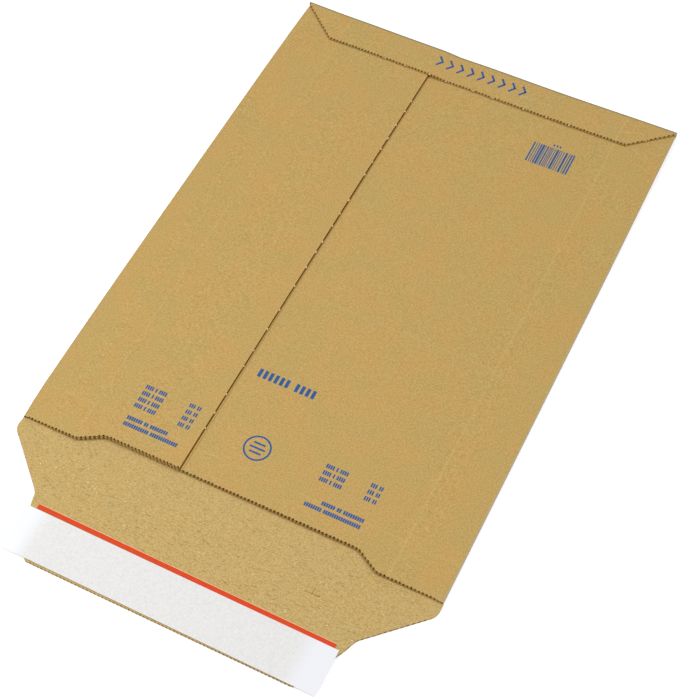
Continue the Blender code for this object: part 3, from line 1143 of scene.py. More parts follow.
@dataclass
class FrontLip:
    """The stretch of front panel that shows between the opening edge and the closing flap's crease."""

    board: BoardMaker
    rows: int = 8
    columns: int = 240
    flute_points: int = 8
    rim: float = 0.00010

    def grid(self, columns: int) -> tuple[np.ndarray, np.ndarray, np.ndarray]:
        """The middle of the lip's board, cut to the sheet's outline.

        Args:
            columns: Steps across the lip.

        Returns:
            Points, outward directions and distances across the flutes.
        """
        y = np.linspace(LINES.mouth_y, LINES.crease_y + LINES.band, self.rows + 1)
        x = np.linspace(-1.0, 1.0, columns + 1)[:, None] * LINES.edge_x(y)
        middle = spread(x, y, BOARD / 2)
        return middle, np.broadcast_to(DOWN, middle.shape), x

    def build(self) -> list[bpy.types.Object]:
        """Build the lip's liners and flutes, and the crushed rims along its two short side cuts.

        Returns:
            The pieces.
        """
        middle, out, _ = self.grid(self.columns)
        pieces = [self.board.liner("front_lip_outer_liner", Side.OUTER, middle, out),
                  self.board.liner("front_lip_inner_liner", Side.INNER, middle, out)]
        columns = round(2 * LINES.half_width / FLUTES.pitch) * self.flute_points
        pieces.append(self.board.flutes("front_lip_flutes", *self.grid(columns)))
        y = middle[0, :, 1:2]
        levels = np.array([FLUTES.liner, BOARD - FLUTES.liner])
        for name, sign in (("front_lip_rim_left", -1.0), ("front_lip_rim_right", 1.0)):
            walls = [spread(sign * (LINES.edge_x(y) - inset), y, levels) for inset in (self.rim, HAIR)]
            pieces.append(settled_sheet(name, *walls, self.board.cut))
        return place(Body.POUCH, "kraft_board", "pouch", *pieces)


@dataclass
class EndFlap:
    """The front panel's tail, turned up round the closed end and glued down over the back panels."""

    board: BoardMaker
    length: float = 0.0214
    left_inset: float = 0.0237
    right_inset: float = 0.0234
    corner_land: float = 0.0020
    bend_radius: float = 0.0002
    tooth_share: float = 0.7
    bend_steps: int = 7
    top_steps: int = 6

    def free_edge(self, x: np.ndarray | float) -> np.ndarray:
        """Y of the flap's cut edge: straight in the middle, slanting to the corners."""
        corners = [-LINES.half_width, self.left_inset - LINES.half_width, LINES.half_width - self.right_inset,
                   LINES.half_width]
        lengths = [self.corner_land, self.length, self.length, self.corner_land]
        return LINES.end_y - np.interp(x, corners, lengths)

    def grid(self, step: float, nibbled: bool = False
             ) -> tuple[np.ndarray, np.ndarray, np.ndarray, np.ndarray]:
        """The middle of the board, from the front panel round the bend to the cut edge.

        Args:
            step: Distance between columns.
            nibbled: Whether the cut edge is nibbled between the flutes, as the outer liner's is.

        Returns:
            Points, outward directions, distances across the flutes and how far the flutes stand.
        """
        x = np.linspace(-LINES.half_width, LINES.half_width, round(2 * LINES.half_width / step) + 1)
        top = level(LINES.end_under(), x) + BOARD
        outer = BOARD + self.bend_radius
        radius = outer - BOARD / 2
        bend_y = LINES.end_y - outer
        # Each row is its Y, its level, and the Y and Z of the way out
        rows: list[tuple[Any, Any, float, float]] = [(LINES.back_end_y, BOARD / 2, 0.0, -1.0)]
        for centre, first in ((outer, -90.0), (top - outer, 0.0)):
            for angle in np.radians(np.linspace(first, first + 90.0, self.bend_steps)):
                sine, cosine = math.sin(angle), math.cos(angle)
                rows.append((bend_y + radius * cosine, centre + radius * sine, cosine, sine))
        edge = self.free_edge(x) + (FLUTES.nibbled(x, Side.OUTER) if nibbled else 0.0)
        for share in np.linspace(0.0, 1.0, self.top_steps + 1)[1:-1]:
            rows.append((bend_y + (edge - bend_y) * share, top - BOARD / 2, 0.0, 1.0))
        for inwards, drop in FLUTES.toothed(x)[::-1] if nibbled else [(0.0, 0.0)]:
            rows.append((edge + inwards, top - BOARD / 2 - drop * self.tooth_share, 0.0, 1.0))
        middle = np.stack([spread(x, y, z) for y, z, _, _ in rows], 1)
        out = np.stack([spread(np.zeros_like(x), out_y, out_z) for _, _, out_y, out_z in rows], 1)
        standing = (np.arange(len(rows)) > 2 * self.bend_steps).astype(float)
        return middle, out, middle[..., 0], standing

    def build(self) -> list[bpy.types.Object]:
        """Build the flap's liners and flutes.

        Returns:
            The pieces.
        """
        pieces = [
            self.board.liner("end_flap_outer_liner", Side.OUTER, *self.grid(FINE_STEP, nibbled=True)[:2]),
            self.board.liner("end_flap_inner_liner", Side.INNER, *self.grid(COARSE_STEP)[:2]),
            self.board.flutes("end_flap_flutes", *self.grid(FLUTES.pitch / FLUTE_POINTS))]
        return place(Body.POUCH, "kraft_board", "pouch", *pieces)


# The closing flap and its crease


@dataclass
class ClosingFlap:
    """The free flap beyond the crease, seen from its inner face."""

    board: BoardMaker
    rows: int = 8
    nibble_share: float = 0.35

    def grid(self, step: float, nibbled: Side | None = None) -> tuple[np.ndarray, np.ndarray, np.ndarray]:
        """The middle of the flap's board, cut to its outline.

        Args:
            step: Distance between columns.
            nibbled: The liner whose edge is nibbled between the flutes, or none for the medium.

        Returns:
            Points, outward directions and distances across the flutes.
        """
        start = LINES.crease_y - LINES.band
        reach = float(LINES.edge_x(start)) - 2 * HAIR
        x = np.linspace(-reach, reach, round(2 * reach / step) + 1)
        end = LINES.edge_y(x) + (FLUTES.nibbled(x, nibbled) * self.nibble_share if nibbled else 0.0)
        end = np.minimum(end, start - HAIR)
        y = start + (end - start)[:, None] * np.linspace(0.0, 1.0, self.rows + 1)
        middle = spread(x[:, None], y, BOARD / 2)
        return middle, np.broadcast_to(DOWN, middle.shape), middle[..., 0]

    def build(self) -> list[bpy.types.Object]:
        """Build the flap's liners and flutes.

        Returns:
            The pieces.
        """
        pieces = [self.board.liner(f"flap_{side.value}_liner", side, *self.grid(FINE_STEP, side)[:2])
                  for side in Side]
        pieces.append(self.board.flutes("flap_flutes", *self.grid(FLUTES.pitch / FLUTE_POINTS)))
        return place(Body.FLAP, "kraft_board", "closing_flap", *pieces)


@dataclass
class FlapCrease:
    """The crushed line where the sheet bends: it rolls round as the flap closes."""

    board: BoardMaker
    rows: int = 20
    columns: int = 240
    pinch: float = 0.00006

    def build(self) -> None:
        """Build the band of crushed board between the front panel and the flap."""
        start, end = LINES.crease_y + LINES.band, LINES.crease_y - LINES.band
        y = np.linspace(start, end, self.rows + 1)
        x = np.linspace(-1.0, 1.0, self.columns + 1)[:, None] * LINES.edge_x(y)
        pinch = self.pinch * np.cos(np.linspace(-math.pi / 2, math.pi / 2, self.rows + 1)) ** 2
        band = settled_sheet("flap_crease_band", spread(x, y, pinch), spread(x, y, BOARD - pinch),
                             self.board.inner, self.board.outer)
        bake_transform(band, Body.POUCH.value, Body.FLAP.value, start=(0.0, start, 0.0), end=(0.0, end, 0.0))
        LOG.info("%s: %d faces across the crease", band.name, len(band.data.polygons))


@dataclass(frozen=True)
class Strip:
    """A strip on the flap: its size, its middle, the degrees that it is turned, and its underside."""

    size: Point
    centre: Range
    tilt: float
    level: float

    def laid(self, columns: int, rows: int) -> tuple[np.ndarray, np.ndarray, np.ndarray, np.ndarray]:
        """A grid over the strip, turned clockwise a little as it was laid.

        Args:
            columns: Points along it.
            rows: Points across it.

        Returns:
            Places along and across the strip, and X and Y in the pack.
        """
        u, v = np.meshgrid(np.linspace(-self.size[0] / 2, self.size[0] / 2, columns),
                           np.linspace(-self.size[1] / 2, self.size[1] / 2, rows), indexing="ij")
        sine, cosine = math.sin(math.radians(-self.tilt)), math.cos(math.radians(-self.tilt))
        return u, v, self.centre[0] + u * cosine - v * sine, self.centre[1] + u * sine + v * cosine


TEAR_STRIP = Strip((0.1641, 0.0025, 0.00012), (-0.00145, -0.1676), 0.5, 0.00127)
RELEASE_LINER = Strip((0.1718, 0.0252, 0.00010), (-0.0029, -0.18160), 0.30, 0.00149)


@dataclass
class FlapTapes:
    """The tear strip, and the release liner over the adhesive, on the closing flap's inner face."""

    tear: bpy.types.Material
    release: bpy.types.Material
    rim: bpy.types.Material
    crown: float = 0.05 * MM
    ripple: float = 0.015 * MM
    rim_width: float = 0.00035
    rim_height: float = 0.05 * MM
    crinkles: int = 60
    crinkle_seed: int = 11
    crinkle_turn: float = 0.55
    crinkle_mm: Range = (3.0, 14.0)
    crinkle_reach_mm: Range = (8.0, 24.0)
    crinkle_area: Range = (0.075, 0.008)
    crinkle_rise: float = 0.11 * MM
    free_share: float = 0.25
    free_length: float = 0.012
    droop: float = 5.0

    def build_tear(self) -> None:
        """Build the tear strip: a stout film a little crowned across its width."""
        u, v, x, y = TEAR_STRIP.laid(180, 7)
        crown = self.crown * (1.0 - (2 * v / TEAR_STRIP.size[1]) ** 2)
        ripple = self.ripple * (1.0 + np.sin(u / FLUTES.pitch * math.tau))
        lower = spread(x, y, TEAR_STRIP.level + ripple)
        upper = spread(x, y, TEAR_STRIP.level + TEAR_STRIP.size[2] + crown + ripple)
        place(Body.FLAP, "tear_tape", "tear_strip", closed_sheet("tear_strip_film", lower, upper, self.tear))

    def build_tear_rim(self) -> None:
        """Build a thin pale line along the tear strip's upper edge."""
        turn = math.radians(-TEAR_STRIP.tilt)
        off = TEAR_STRIP.size[1] / 2 + self.rim_width / 2
        centre = (TEAR_STRIP.centre[0] - off * math.sin(turn), TEAR_STRIP.centre[1] + off * math.cos(turn))
        strip = Strip((TEAR_STRIP.size[0], self.rim_width, self.rim_height), centre,
                      TEAR_STRIP.tilt, BOARD + HAIR)
        _, _, x, y = strip.laid(90, 2)
        lower = spread(x, y, strip.level)
        piece = closed_sheet("tear_strip_rim", lower, lower - DOWN * self.rim_height, self.rim)
        place(Body.FLAP, "adhesive", None, piece)

    def crinkled(self, u: np.ndarray, v: np.ndarray) -> np.ndarray:
        """Fine crinkles of a thin paper, each a short train of waves.

        Args:
            u: Places along the strip.
            v: Places across it.

        Returns:
            The height at each place, from nought to one.
        """
        rng = np.random.default_rng(self.crinkle_seed)
        height = np.zeros_like(u)
        for _ in range(self.crinkles):
            angle = rng.normal(0.0, self.crinkle_turn)
            wavelength = rng.uniform(*self.crinkle_mm) * MM
            phase = rng.uniform(0.0, math.tau)
            centre = [rng.uniform(-reach, reach) for reach in self.crinkle_area]
            reach = rng.uniform(*self.crinkle_reach_mm) * MM
            window = np.exp(-((u - centre[0]) / reach) ** 2 - ((v - centre[1]) / (0.35 * reach)) ** 2)
            across = -u * math.sin(angle) + v * math.cos(angle)
            height += window * np.cos(across / wavelength * math.tau + phase) * wavelength / MM
        return np.clip(0.5 + height / (4.0 * height.std()), 0.0, 1.0)

    def build_release(self) -> None:
        """Build the release liner: a thin paper with fine crinkles, its two ends hanging free."""
        u, v, x, y = RELEASE_LINER.laid(344, 50)
        half, thickness = RELEASE_LINER.size[0] / 2, RELEASE_LINER.size[2]
        held = 1.0 - smooth(np.abs(u), half - self.free_length, half)
        beyond = np.maximum(np.abs(x) - LINES.edge_x(y), 0.0)
        rise = (self.crinkle_rise * self.crinkled(u, v) * (self.free_share + (1.0 - self.free_share) * held)
                - self.droop * beyond ** 2)
        lower = spread(x, y, RELEASE_LINER.level + rise)
        upper = spread(x, y, RELEASE_LINER.level + thickness + rise)
        piece = closed_sheet("release_liner_paper", lower, upper, self.release)
        place(Body.FLAP, "release_paper", "release_liner", piece)

    def build(self) -> None:
        """Build both films and the pale line along the tear strip's edge."""
        self.build_tear()
        self.build_tear_rim()
        self.build_release()


def dress(node: bpy.types.Object, material: bpy.types.Material) -> None:
    """Give a CAD node a material of its own."""
    node.data.materials.clear()
    node.data.materials.append(material)


# Glue, print and wear


@dataclass
class GlueLines:
    """Dried glue under the lapped seam and the end flap, settled with the layers that it joins."""

    material: bpy.types.Material
    thickness: float = 0.00006
    gap: float = 0.00012
    lines: tuple[tuple[str, bool, Range, Range], ...] = (
        ("seam_glue", False, (-0.053, -0.035), (-0.1075, 0.18335)),
        ("end_glue_left", True, (-0.0893, -0.033), (0.1793, 0.1893)),
        ("end_glue_right", False, (0.005, 0.0896), (0.1793, 0.1893)))

    def build(self) -> None:
        """Build the three lines of glue, each on the left or the right back panel."""
        for name, on_left, x_range, y_range in self.lines:
            panel = LINES.left_under() if on_left else LINES.right_under()
            x, y = np.meshgrid(np.linspace(*x_range, 60), np.linspace(*y_range, 24), indexing="ij")
            z = level(raised(panel, BOARD + self.gap), x)
            piece = settled_sheet(name + "_line", spread(x, y, z), spread(x, y, z + self.thickness),
                                  self.material)
            place(Body.POUCH, "dried_glue", name, piece)


def at(x_units: float, y_units: float) -> tuple[float, float]:
    """Place in the pack of a point given from the left edge and the folded end, in print units."""
    return x_units * PRINT_UNIT - LINES.half_width, LINES.end_y - y_units * PRINT_UNIT


@dataclass
class Bars:
    """A set of printed or pressed bars: middle, length, width and turn of each."""

    middles: list[Range] = field(default_factory=list)
    sizes: list[Point] = field(default_factory=list)
    turns: list[float] = field(default_factory=list)

    def bar(self, x: float, y: float, length: float, width: float, turn: float = 0.0) -> None:
        """Add one bar.

        Args:
            x: Its middle from the left edge, in print units.
            y: Its middle from the folded end, in print units.
            length: Its length, in print units.
            width: Its width, in print units.
            turn: Degrees that it is turned by from X.
        """
        self.middles.append(at(x, y))
        self.sizes.append((length * PRINT_UNIT, width * PRINT_UNIT, 1.0))
        self.turns.append(math.radians(turn))

    def strokes(self, x0: float, x1: float, y: float, height: float, groups: Sequence[int],
                filled: float = 0.60, gap: float = 0.8) -> None:
        """Add groups of upright strokes between two places, as a plain line of marks.

        Args:
            x0: Where the line starts, in print units.
            x1: Where it ends.
            y: Its middle.
            height: The strokes' length.
            groups: Strokes in each group.
            filled: Share of each cell that its stroke takes up.
            gap: Cells left open between two groups.
        """
        cell = (x1 - x0) / (sum(groups) + gap * (len(groups) - 1))
        x = x0
        for count in groups:
            for _ in range(count):
                self.bar(x + cell / 2, y, height, cell * filled, 90.0)
                x += cell
            x += gap * cell


@dataclass(frozen=True)
class BarLayer:
    """Lays bars on a sheet as one piece: how far they stand off it, and how thick they are."""

    lift: float = 0.008 * MM
    thickness: float = 0.012 * MM
    above: Point = (0.0, 0.0, 0.03)
    ray: float = 0.1

    def tree(self, name: str) -> Tree:
        """A tree that lays a thin bar at each point and presses it on to a sheet.

        Args:
            name: The tree's name.

        Returns:
            The tree and the identifier of each named input.
        """
        tree, given, names = new_tree(name, [
            ("Lift", "Float", self.lift), ("Thickness", "Float", self.thickness),
            ("Sheet", "Object", None), ("Material", "Material", None)])
        shape = add(tree, "GeometryNodeMeshGrid",
                    {"Size X": 1.0, "Size Y": 1.0, "Vertices X": 9, "Vertices Y": 3})
        flat = on_points(tree, given["Geometry"], shape.outputs["Mesh"], named(tree, "size", "FLOAT_VECTOR"))
        target = add(tree, "GeometryNodeObjectInfo", {"Object": given["Sheet"]}, transform_space="RELATIVE")
        where = add(tree, "GeometryNodeInputPosition").outputs[0]
        source = worked(tree, "ADD", where, self.above, kind="VectorMath")
        ray = add(tree, "GeometryNodeRaycast",
                  {"Target Geometry": target.outputs["Geometry"], "Source Position": source,
                   "Ray Direction": tuple(DOWN.tolist()), "Ray Length": self.ray})
        spot = worked(tree, "ADD", ray.outputs["Hit Position"], upright(tree, given["Lift"]), kind="VectorMath")
        pressed = add(tree, "GeometryNodeSetPosition", {"Geometry": flat, "Position": spot})
        whole = thickened(tree, pressed.outputs["Geometry"], upright(tree, given["Thickness"]))
        end_tree(tree, whole, given["Material"])
        return tree, names

    def lay(self, name: str, bars: Bars, sheet: bpy.types.Object, material: bpy.types.Material, body: Body
            ) -> None:
        """Lay a set of bars on a sheet.

        Args:
            name: The piece's name.
            bars: The bars.
            sheet: The sheet that carries them.
            material: Their finish.
            body: The body that they ride on.
        """
        points = np.array([(x, y, 0.0) for x, y in bars.middles])
        piece = grown(name, points, {"size": np.array(bars.sizes), "turn": np.array(bars.turns)},
                      self.tree("bars_on_" + sheet.name),
                      {"Lift": self.lift, "Thickness": self.thickness, "Sheet": sheet, "Material": material})
        place(body, None, None, piece)


BAR_LAYER = BarLayer()


@dataclass
class PanelPrint:
    """Plain blue marks where the pack is printed: bars, strokes and a ring, none of them lettering.

    All places and sizes are in print units. A table has its first and last X and its number of rows, and a
    title its first and last X, its Y and the strokes in each of its words.
    """

    ink: bpy.types.Material
    code_x: Range = (174.4, 200.8)
    code_bar: Range = (50.6, 16.1)
    code_widths: tuple[float, ...] = (0.5, 0.5, 0.9, 1.3)
    code_gaps: tuple[float, ...] = (0.45, 0.7, 0.9)
    code_seed: int = 5
    dots: tuple[float, ...] = (186.2, 188.2, 190.2)
    tables: tuple[tuple[float, float, int], ...] = ((50.9, 85.4, 4), (161.3, 195.0, 3))
    table_y: Range = (298.7, 4.3)
    titles: tuple[tuple[float, float, float, tuple[int, ...]], ...] = (
        (51.3, 76.4, 320.0, (7, 2, 8)), (51.3, 84.6, 324.1, (12, 13)),
        (169.0, 193.8, 320.0, (6, 2, 9)), (160.8, 193.6, 324.1, (8, 17)))
    ring: Point = (123.4, 305.7, 7.3)
    ring_sides: int = 32
    ring_lines: tuple[Range, ...] = ((302.8, 3.4), (305.7, 4.6), (308.6, 3.4))
    chevron_x: Range = (97.0, 7.0)
    chevrons: int = 9

    def panel_bars(self) -> Bars:
        """The marks on the back panels.

        Returns:
            The bars.
        """
        bars = Bars()
        x, rng = self.code_x[0], np.random.default_rng(self.code_seed)
        while x < self.code_x[1]:
            width = float(rng.choice(self.code_widths))
            bars.bar(x + width / 2, *self.code_bar, width, 90.0)
            x += width + float(rng.choice(self.code_gaps))
        for x in self.dots:
            bars.bar(x, 40.3, 1.1, 1.4)
        bars.strokes(101.0, 137.0, 262.6, 5.4, (6, 4))
        for first, last, rows in self.tables:
            for row in range(rows):
                y = self.table_y[0] + row * self.table_y[1]
                bars.strokes(first, first + 13.2, y, 2.6, (4, 1, 4), 0.74)
                bars.strokes(last - 7.4, last, y, 2.6, (3, 2), 0.70)
        for first, last, y, groups in self.titles:
            bars.strokes(first, last, y, 2.4, groups, 0.80)
        ring_x, ring_y, radius = self.ring
        for angle in (math.tau * i / self.ring_sides for i in range(self.ring_sides)):
            bars.bar(ring_x + radius * math.cos(angle), ring_y - radius * math.sin(angle), 1.5, 1.0,
                     math.degrees(angle) + 90.0)
        for y, half in self.ring_lines:
            bars.bar(ring_x, y, 2 * half, 1.1)
        return bars

    def end_bars(self) -> Bars:
        """A row of chevrons on the end flap, two bars each."""
        bars = Bars()
        for x in (self.chevron_x[0] + i * self.chevron_x[1] for i in range(self.chevrons)):
            bars.bar(x, 11.7, 5.4, 1.3, 52.0)
            bars.bar(x, 8.3, 5.4, 1.3, -52.0)
        return bars

    def build(self, panels: bpy.types.Object, end_flap: bpy.types.Object) -> None:
        """Lay the marks on the outer liners of the back panels and of the end flap."""
        BAR_LAYER.lay("panel_print", self.panel_bars(), panels, self.ink, Body.POUCH)
        BAR_LAYER.lay("end_flap_print", self.end_bars(), end_flap, self.ink, Body.POUCH)


@dataclass
class CutNicks:
    """Torn nicks along the cut edges, where the blank hung in its sheet: tufts of pale fibre.

    Their places along the end flap's edge and the seam are in print units. A tuft's size is drawn between
    the smallest and the largest share of its length.
    """

    material: bpy.types.Material
    end_flap_x: tuple[float, ...] = (64.1, 78.5, 95.0, 106.6, 124.6, 137.7, 158.5, 173.5, 188.6, 235.1)
    seam_y: tuple[float, ...] = (47.3, 56.6, 69.0, 80.7, 90.2, 101.7, 112.3, 133.8, 145.1, 155.2, 168.0, 176.3,
                                 188.3, 203.0, 221.5, 236.0, 252.0, 263.6, 283.9, 296.9, 307.6)
    length: float = 0.0008
    ragged: float = 0.0005
    seed: int = 3
    smallest: Point = (0.7, 0.40, 0.22)
    largest: Point = (1.15, 0.62, 0.34)
    noise_scale: float = 2600.0

    def tree(self) -> Tree:
        """A tree that sets a ragged tuft at each point.

        Returns:
            The tree and the identifier of each named input.
        """
        tree, given, names = new_tree("torn_nicks", [
            ("Length", "Float", self.length), ("Ragged", "Float", self.ragged), ("Seed", "Int", self.seed),
            ("Material", "Material", None)])
        ball = add(tree, "GeometryNodeMeshIcoSphere", {"Radius": 1.0, "Subdivisions": 2})
        share = add(tree, "FunctionNodeRandomValue",
                    {0: self.smallest, 1: self.largest, "Seed": given["Seed"]}, data_type="FLOAT_VECTOR")
        tufts = on_points(tree, given["Geometry"], ball.outputs["Mesh"],
                          scaled(tree, share.outputs[0], given["Length"]))
        where = add(tree, "GeometryNodeInputPosition").outputs[0]
        noise = add(tree, "ShaderNodeTexNoise", {"Vector": where, "Scale": self.noise_scale, "Detail": 1.0})
        centred = worked(tree, "SUBTRACT", noise.outputs["Color"], (0.5, 0.5, 0.5), kind="VectorMath")
        torn = add(tree, "GeometryNodeSetPosition",
                   {"Geometry": tufts, "Offset": scaled(tree, centred, given["Ragged"])})
        end_tree(tree, torn.outputs["Geometry"], given["Material"])
        return tree, names

    def build(self, end_flap: EndFlap) -> None:
        """Set the tufts along the end flap's edge and the seam.

        Args:
            end_flap: The end flap, for the line of its cut edge.
        """
        spots = []
        for x in (at(units, 0.0)[0] for units in self.end_flap_x):
            spots.append((x, float(end_flap.free_edge(x)) - 0.05 * MM,
                          float(level(LINES.end_under(), x)) + BOARD * 0.75))
        top = float(level(LINES.left_under(), LINES.seam_x)) + BOARD * 0.8
        spots += [(LINES.seam_x - 0.3 * MM, at(0.0, units)[1], top) for units in self.seam_y]
        turns = np.array([0.0] * len(self.end_flap_x) + [math.pi / 2] * len(self.seam_y))
        piece = grown("torn_nicks", SETTLE.move(np.array(spots)), {"turn": turns}, self.tree(),
                      {"Length": self.length, "Ragged": self.ragged, "Seed": self.seed,
                       "Material": self.material})
        place(Body.POUCH, "kraft_board", None, piece)


@dataclass(frozen=True)
class Scatter:
    """Short bars strewn over the sheet: how many are tried, and the ranges that each is drawn from.

    The spread is the standard deviation of their turn from X, in degrees.
    """

    count: int
    seed: int
    x_reach: float
    y_range: Range
    length: Range
    width: Range
    spread: float
    clear: float = 0.6 * MM

    def bars(self) -> Bars:
        """Scatter the bars, and keep those that lie inside the sheet's outline.

        Returns:
            The bars.
        """
        rng = np.random.default_rng(self.seed)
        bars = Bars()
        for _ in range(self.count):
            x, y = rng.uniform(-self.x_reach, self.x_reach), rng.uniform(*self.y_range)
            size = (rng.uniform(*self.length), rng.uniform(*self.width), 1.0)
            turn = math.radians(rng.normal(0.0, self.spread))
            if abs(x) + size[0] / 2 + self.clear < float(LINES.edge_x(y)):
                bars.middles.append((x, y))
                bars.sizes.append(size)
                bars.turns.append(turn)
        return bars


@dataclass
class PaperFibres:
    """Slivers of bark and bleached pulp on the rough inner face, lying along the machine direction."""

    dark: bpy.types.Material
    pale: bpy.types.Material
    mark: bpy.types.Material
    on_flap: Scatter = Scatter(420, 21, 0.110, (-0.166, -0.1372),
                               (0.6 * MM, 3.0 * MM), (0.09 * MM, 0.16 * MM), 7.0)
    flecks: Scatter = Scatter(70, 22, 0.110, (-0.166, -0.1372),
                              (0.35 * MM, 0.8 * MM), (0.25 * MM, 0.5 * MM), 60.0)
    on_lip: Scatter = Scatter(110, 23, 0.114, (-0.1330, -0.1275),
                              (0.6 * MM, 2.6 * MM), (0.09 * MM, 0.16 * MM), 7.0)
    cracks: tuple[tuple[float, ...], ...] = ((37.9, 346.1, 1.4, 0.25, -54.0), (38.6, 350.3, 1.4, 0.25, -40.0))
    register: tuple[tuple[float, ...], ...] = ((187.6, 367.6, 8.6, 0.26, 1.0), (187.5, 366.0, 3.4, 0.26, 91.0))

    def build(self, flap_face: bpy.types.Object, lip_face: bpy.types.Object) -> None:
        """Lay the slivers and a pressed register mark on the inner liners of the flap and the front lip.

        Args:
            flap_face: The flap's inner liner.
            lip_face: The front lip's inner liner.
        """
        BAR_LAYER.lay("flap_dark_slivers", self.on_flap.bars(), flap_face, self.dark, Body.FLAP)
        BAR_LAYER.lay("flap_pale_flecks", self.flecks.bars(), flap_face, self.pale, Body.FLAP)
        lip, register = self.on_lip.bars(), Bars()
        for bars, marks in ((lip, self.cracks), (register, self.register)):
            for mark in marks:
                bars.bar(*mark)
        BAR_LAYER.lay("lip_dark_slivers", lip, lip_face, self.dark, Body.POUCH)
        BAR_LAYER.lay("flap_register_mark", register, flap_face, self.mark, Body.FLAP)


# The studio


@dataclass
class Studio:
    """A white table, soft light from behind on the right, and the photograph's camera."""

    focal_px: float = 1675.2
    image_height: int = 700
    sensor: float = 36.0
    camera: Point = (0.2204, -0.4458, 0.7347)
    azimuth: float = 26.276
    elevation: float = 57.001
    clip: Range = (0.02, 50.0)
    sky: float = 0.42
    sun: float = 1.12
    sun_angle: float = 38.0
    sun_from: Point = (0.45, 0.30, 1.0)
    fill: float = 4.6
    fill_size: float = 0.7
    fill_at: Point = (-0.50, -0.42, 0.90)
    table_reach: float = 6.0
    table_z: float = -0.0001
    table_grey: float = 0.80
    table_glow: float = 0.30

    def build(self) -> None:
        """Build the table, the light and the camera."""
        self.build_table()
        self.build_light()
        self.build_camera()

    def build_table(self) -> None:
        """A white table that keeps the shadow and reads as plain white where nothing shades it."""
        mesh = bpy.data.meshes.new("table")
        corners = [(x * self.table_reach, y * self.table_reach, self.table_z)
                   for x, y in ((-1, -1), (1, -1), (1, 1), (-1, 1))]
        mesh.from_pydata(corners, [], [(0, 1, 2, 3)])
        material = bpy.data.materials.new("white_table")
        material.use_nodes = True
        tree = material.node_tree
        tree.nodes.clear()
        dull = add(tree, "ShaderNodeBsdfDiffuse", {"Color": (*[self.table_grey] * 3, 1.0)})
        bright = add(tree, "ShaderNodeBsdfDiffuse", {"Color": WHITE})
        glow = add(tree, "ShaderNodeEmission", {"Color": WHITE, "Strength": self.table_glow})
        shown = add(tree, "ShaderNodeAddShader", {0: bright.outputs[0], 1: glow.outputs[0]})
        self.show(tree, dull, shown, "ShaderNodeOutputMaterial")
        mesh.materials.append(material)
        linked("table", mesh)

    @staticmethod
    def show(tree: Any, lit: Any, seen: Any, output: str) -> None:
        """End a tree in one shader for the light's rays and another for the camera's.

        Args:
            tree: The table's or the sky's tree.
            lit: The node that the light's rays meet.
            seen: The node that the camera sees.
            output: The type name of the output node.
        """
        camera = add(tree, "ShaderNodeLightPath").outputs["Is Camera Ray"]
        both = add(tree, "ShaderNodeMixShader", {0: camera, 1: lit.outputs[0], 2: seen.outputs[0]})
        add(tree, output, {"Surface": both.outputs[0]})

    def build_light(self) -> None:
        """An even sky, one broad lamp from the right and behind, and a weak one from the left."""
        world = bpy.data.worlds.new("sky")
        bpy.context.scene.world = world
        world.use_nodes = True
        tree = world.node_tree
        tree.nodes.clear()
        soft, white = (add(tree, "ShaderNodeBackground", {"Color": WHITE, "Strength": strength})
                       for strength in (self.sky, 1.0))
        self.show(tree, soft, white, "ShaderNodeOutputWorld")
        lamp = bpy.data.lights.new("key", "SUN")
        lamp.energy, lamp.angle = self.sun, math.radians(self.sun_angle)
        linked("key", lamp).rotation_euler = Vector(self.sun_from).to_track_quat("Z", "Y").to_euler()
        panel = bpy.data.lights.new("fill", "AREA")
        panel.energy, panel.size = self.fill, self.fill_size
        fill = linked("fill", panel)
        fill.location = self.fill_at
        fill.rotation_euler = Vector(self.fill_at).to_track_quat("Z", "Y").to_euler()

    def build_camera(self) -> None:
        """The camera, solved from the pack's corners in the photograph."""
        azimuth, elevation = math.radians(self.azimuth), math.radians(self.elevation)
        back = Vector((math.sin(azimuth) * math.cos(elevation), -math.cos(azimuth) * math.cos(elevation),
                       math.sin(elevation)))
        data = bpy.data.cameras.new("camera")
        data.sensor_fit, data.sensor_height = "VERTICAL", self.sensor
        data.lens = self.focal_px / self.image_height * self.sensor
        data.clip_start, data.clip_end = self.clip
        camera = linked("camera", data)
        camera.location = self.camera
        camera.rotation_euler = back.to_track_quat("Z", "Y").to_euler()
        bpy.context.scene.camera = camera
        bpy.context.scene.view_settings.view_transform = "Standard"
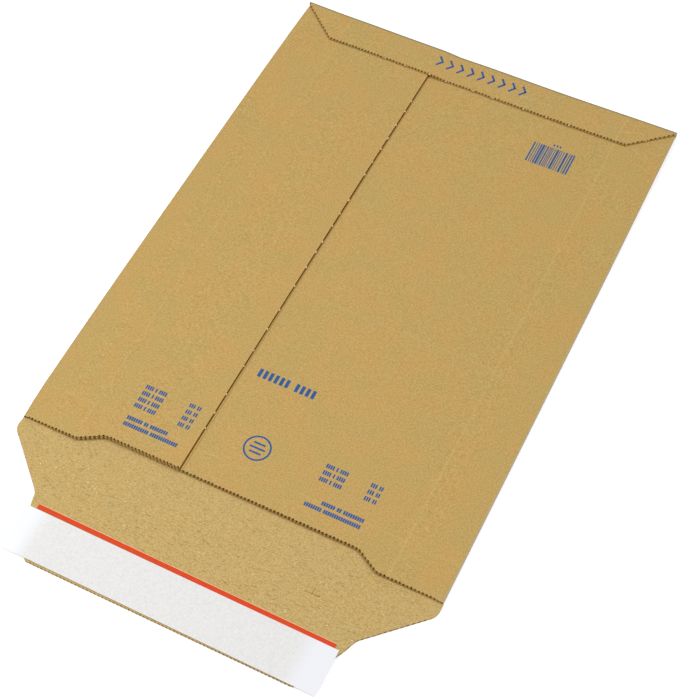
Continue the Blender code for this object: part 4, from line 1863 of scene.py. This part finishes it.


# The last two lines are painted light: painted shade along the end fold at Y 0.1944, and a painted highlight
# along the right side fold at X 0.1168
KRAFT_OUTER = KraftLiner(
    "kraft_outer_liner", "C3A362", "CF9F5A", "B9A45E", "8F7236", "E2CB92", 0.42, 0.50,
    (ScoreOrPaintedFoldLine("X", 0.0873, 0.12), ScoreOrPaintedFoldLine("X", -0.0873, 0.08), ScoreOrPaintedFoldLine("Y", 0.0039, 0.07),
     ScoreOrPaintedFoldLine("Y", -0.1050, 0.07), ScoreOrPaintedFoldLine("Y", 0.1824, 0.05),
     ScoreOrPaintedFoldLine("Y", 0.1944, 0.85, "74765C", 1.5 * MM), ScoreOrPaintedFoldLine("X", 0.1168, 0.55, "BDBCAE", 0.8 * MM)))
KRAFT_INNER = KraftLiner("kraft_inner_liner", "C8AA6C", "CDA866", "BFA96A", "8D7038", "E3CF9C", 0.35, 0.55)
PLAIN_FINISHES = (
    # Painted shade: the liners' hidden faces, dark to stand for the shade inside the flutes
    PlainFinish("starched_liner_back", "5C3708", "4A2B06", 1.5, 0.95, 0.0),
    # Painted shade: the medium's wavy faces, dark to stand for the shade inside the flutes
    PlainFinish("fluting_medium", "6B430D", "553308", 1.2, 0.95, 0.0),
    PlainFinish("cut_fluting", "CFA869", "B58E52", 0.6, 0.9, 0.2),
    # Painted shade, lighter: the closing flap's liner backs and medium, standing for the shade inside its
    # flutes
    PlainFinish("pressed_cut_edge", "A88C5E", "907648", 1.2, 0.95, 0.0),
    PlainFinish("shaded_cut_edge", "8C672C", "7A5720", 1.2, 0.95, 0.0),
    # Painted shade: the dark brown of the shaded gap at the seam, laid on the seam's sloped edge
    PlainFinish("crushed_seam_edge", "AC843F", "9A7230", 1.2, 0.95, 0.0),
    PlainFinish("torn_kraft", "E4CC98", "D6B87E", 0.5, 0.95, 0.1),
    PlainFinish("blue_flexo_ink", "22528E", "3E6CA0", 0.9, 0.6, 0.3),
    PlainFinish("bark_sliver", "8E7340", "7C6232", 0.8, 0.9, 0.2),
    PlainFinish("bleached_fleck", "E9D9AC", "F2E6C4", 0.8, 0.8, 0.2),
    PlainFinish("scored_fibre", "7A6032", "6A5228", 0.6, 0.9, 0.1),
    PlainFinish("orange_tear_tape", "E1491C", "D03E14", 2.5, 0.45, 0.25, contrast=0.5, bump=0.01 * MM),
    PlainFinish("clear_adhesive", "E8E4DA", "D9D3C4", 2.0, 0.35, contrast=0.5),
    PlainFinish("squeezed_hot_melt", "E9CFA2", "DDBE8C", 0.8, 0.5, contrast=0.5),
    PlainFinish("dried_glue", "E6DFC8", "D2C7A6", 1.5, 0.5, contrast=0.5))


def main() -> None:
    """Build the pack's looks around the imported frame."""
    logging.basicConfig(level=logging.INFO, format="%(message)s")
    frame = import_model()
    outer, inner = KRAFT_OUTER.build(), KRAFT_INNER.build()
    plain = {finish.name: finish.build() for finish in PLAIN_FINISHES}
    pressed, shaded, cut = plain["pressed_cut_edge"], plain["shaded_cut_edge"], plain["cut_fluting"]
    board = BoardMaker(outer, inner, plain["starched_liner_back"], plain["fluting_medium"], cut)
    pouch = Pouch(board)
    panels = pouch.build()
    SeamEdge(plain["crushed_seam_edge"]).build(pouch.seam_setback)
    lip = FrontLip(board).build()
    end_flap = EndFlap(BoardMaker(outer, inner, shaded, shaded, cut))
    end_pieces = end_flap.build()
    # The closing flap's liner backs and medium take a lighter painted shade than the pouch's
    flap = ClosingFlap(BoardMaker(outer, inner, pressed, pressed, cut)).build()
    FlapCrease(board).build()
    PanelPrint(plain["blue_flexo_ink"]).build(panels[0], end_pieces[0])
    CutNicks(plain["torn_kraft"]).build(end_flap)
    PaperFibres(plain["bark_sliver"], plain["bleached_fleck"], plain["scored_fibre"]).build(flap[1], lip[1])
    FlapTapes(plain["orange_tear_tape"], ReleasePaper().build(), plain["squeezed_hot_melt"]).build()
    dress(frame["nodes"]["adhesive_strip"], plain["clear_adhesive"])
    GlueLines(plain["dried_glue"]).build()
    Studio().build()


if __name__ == "__main__":
    main()
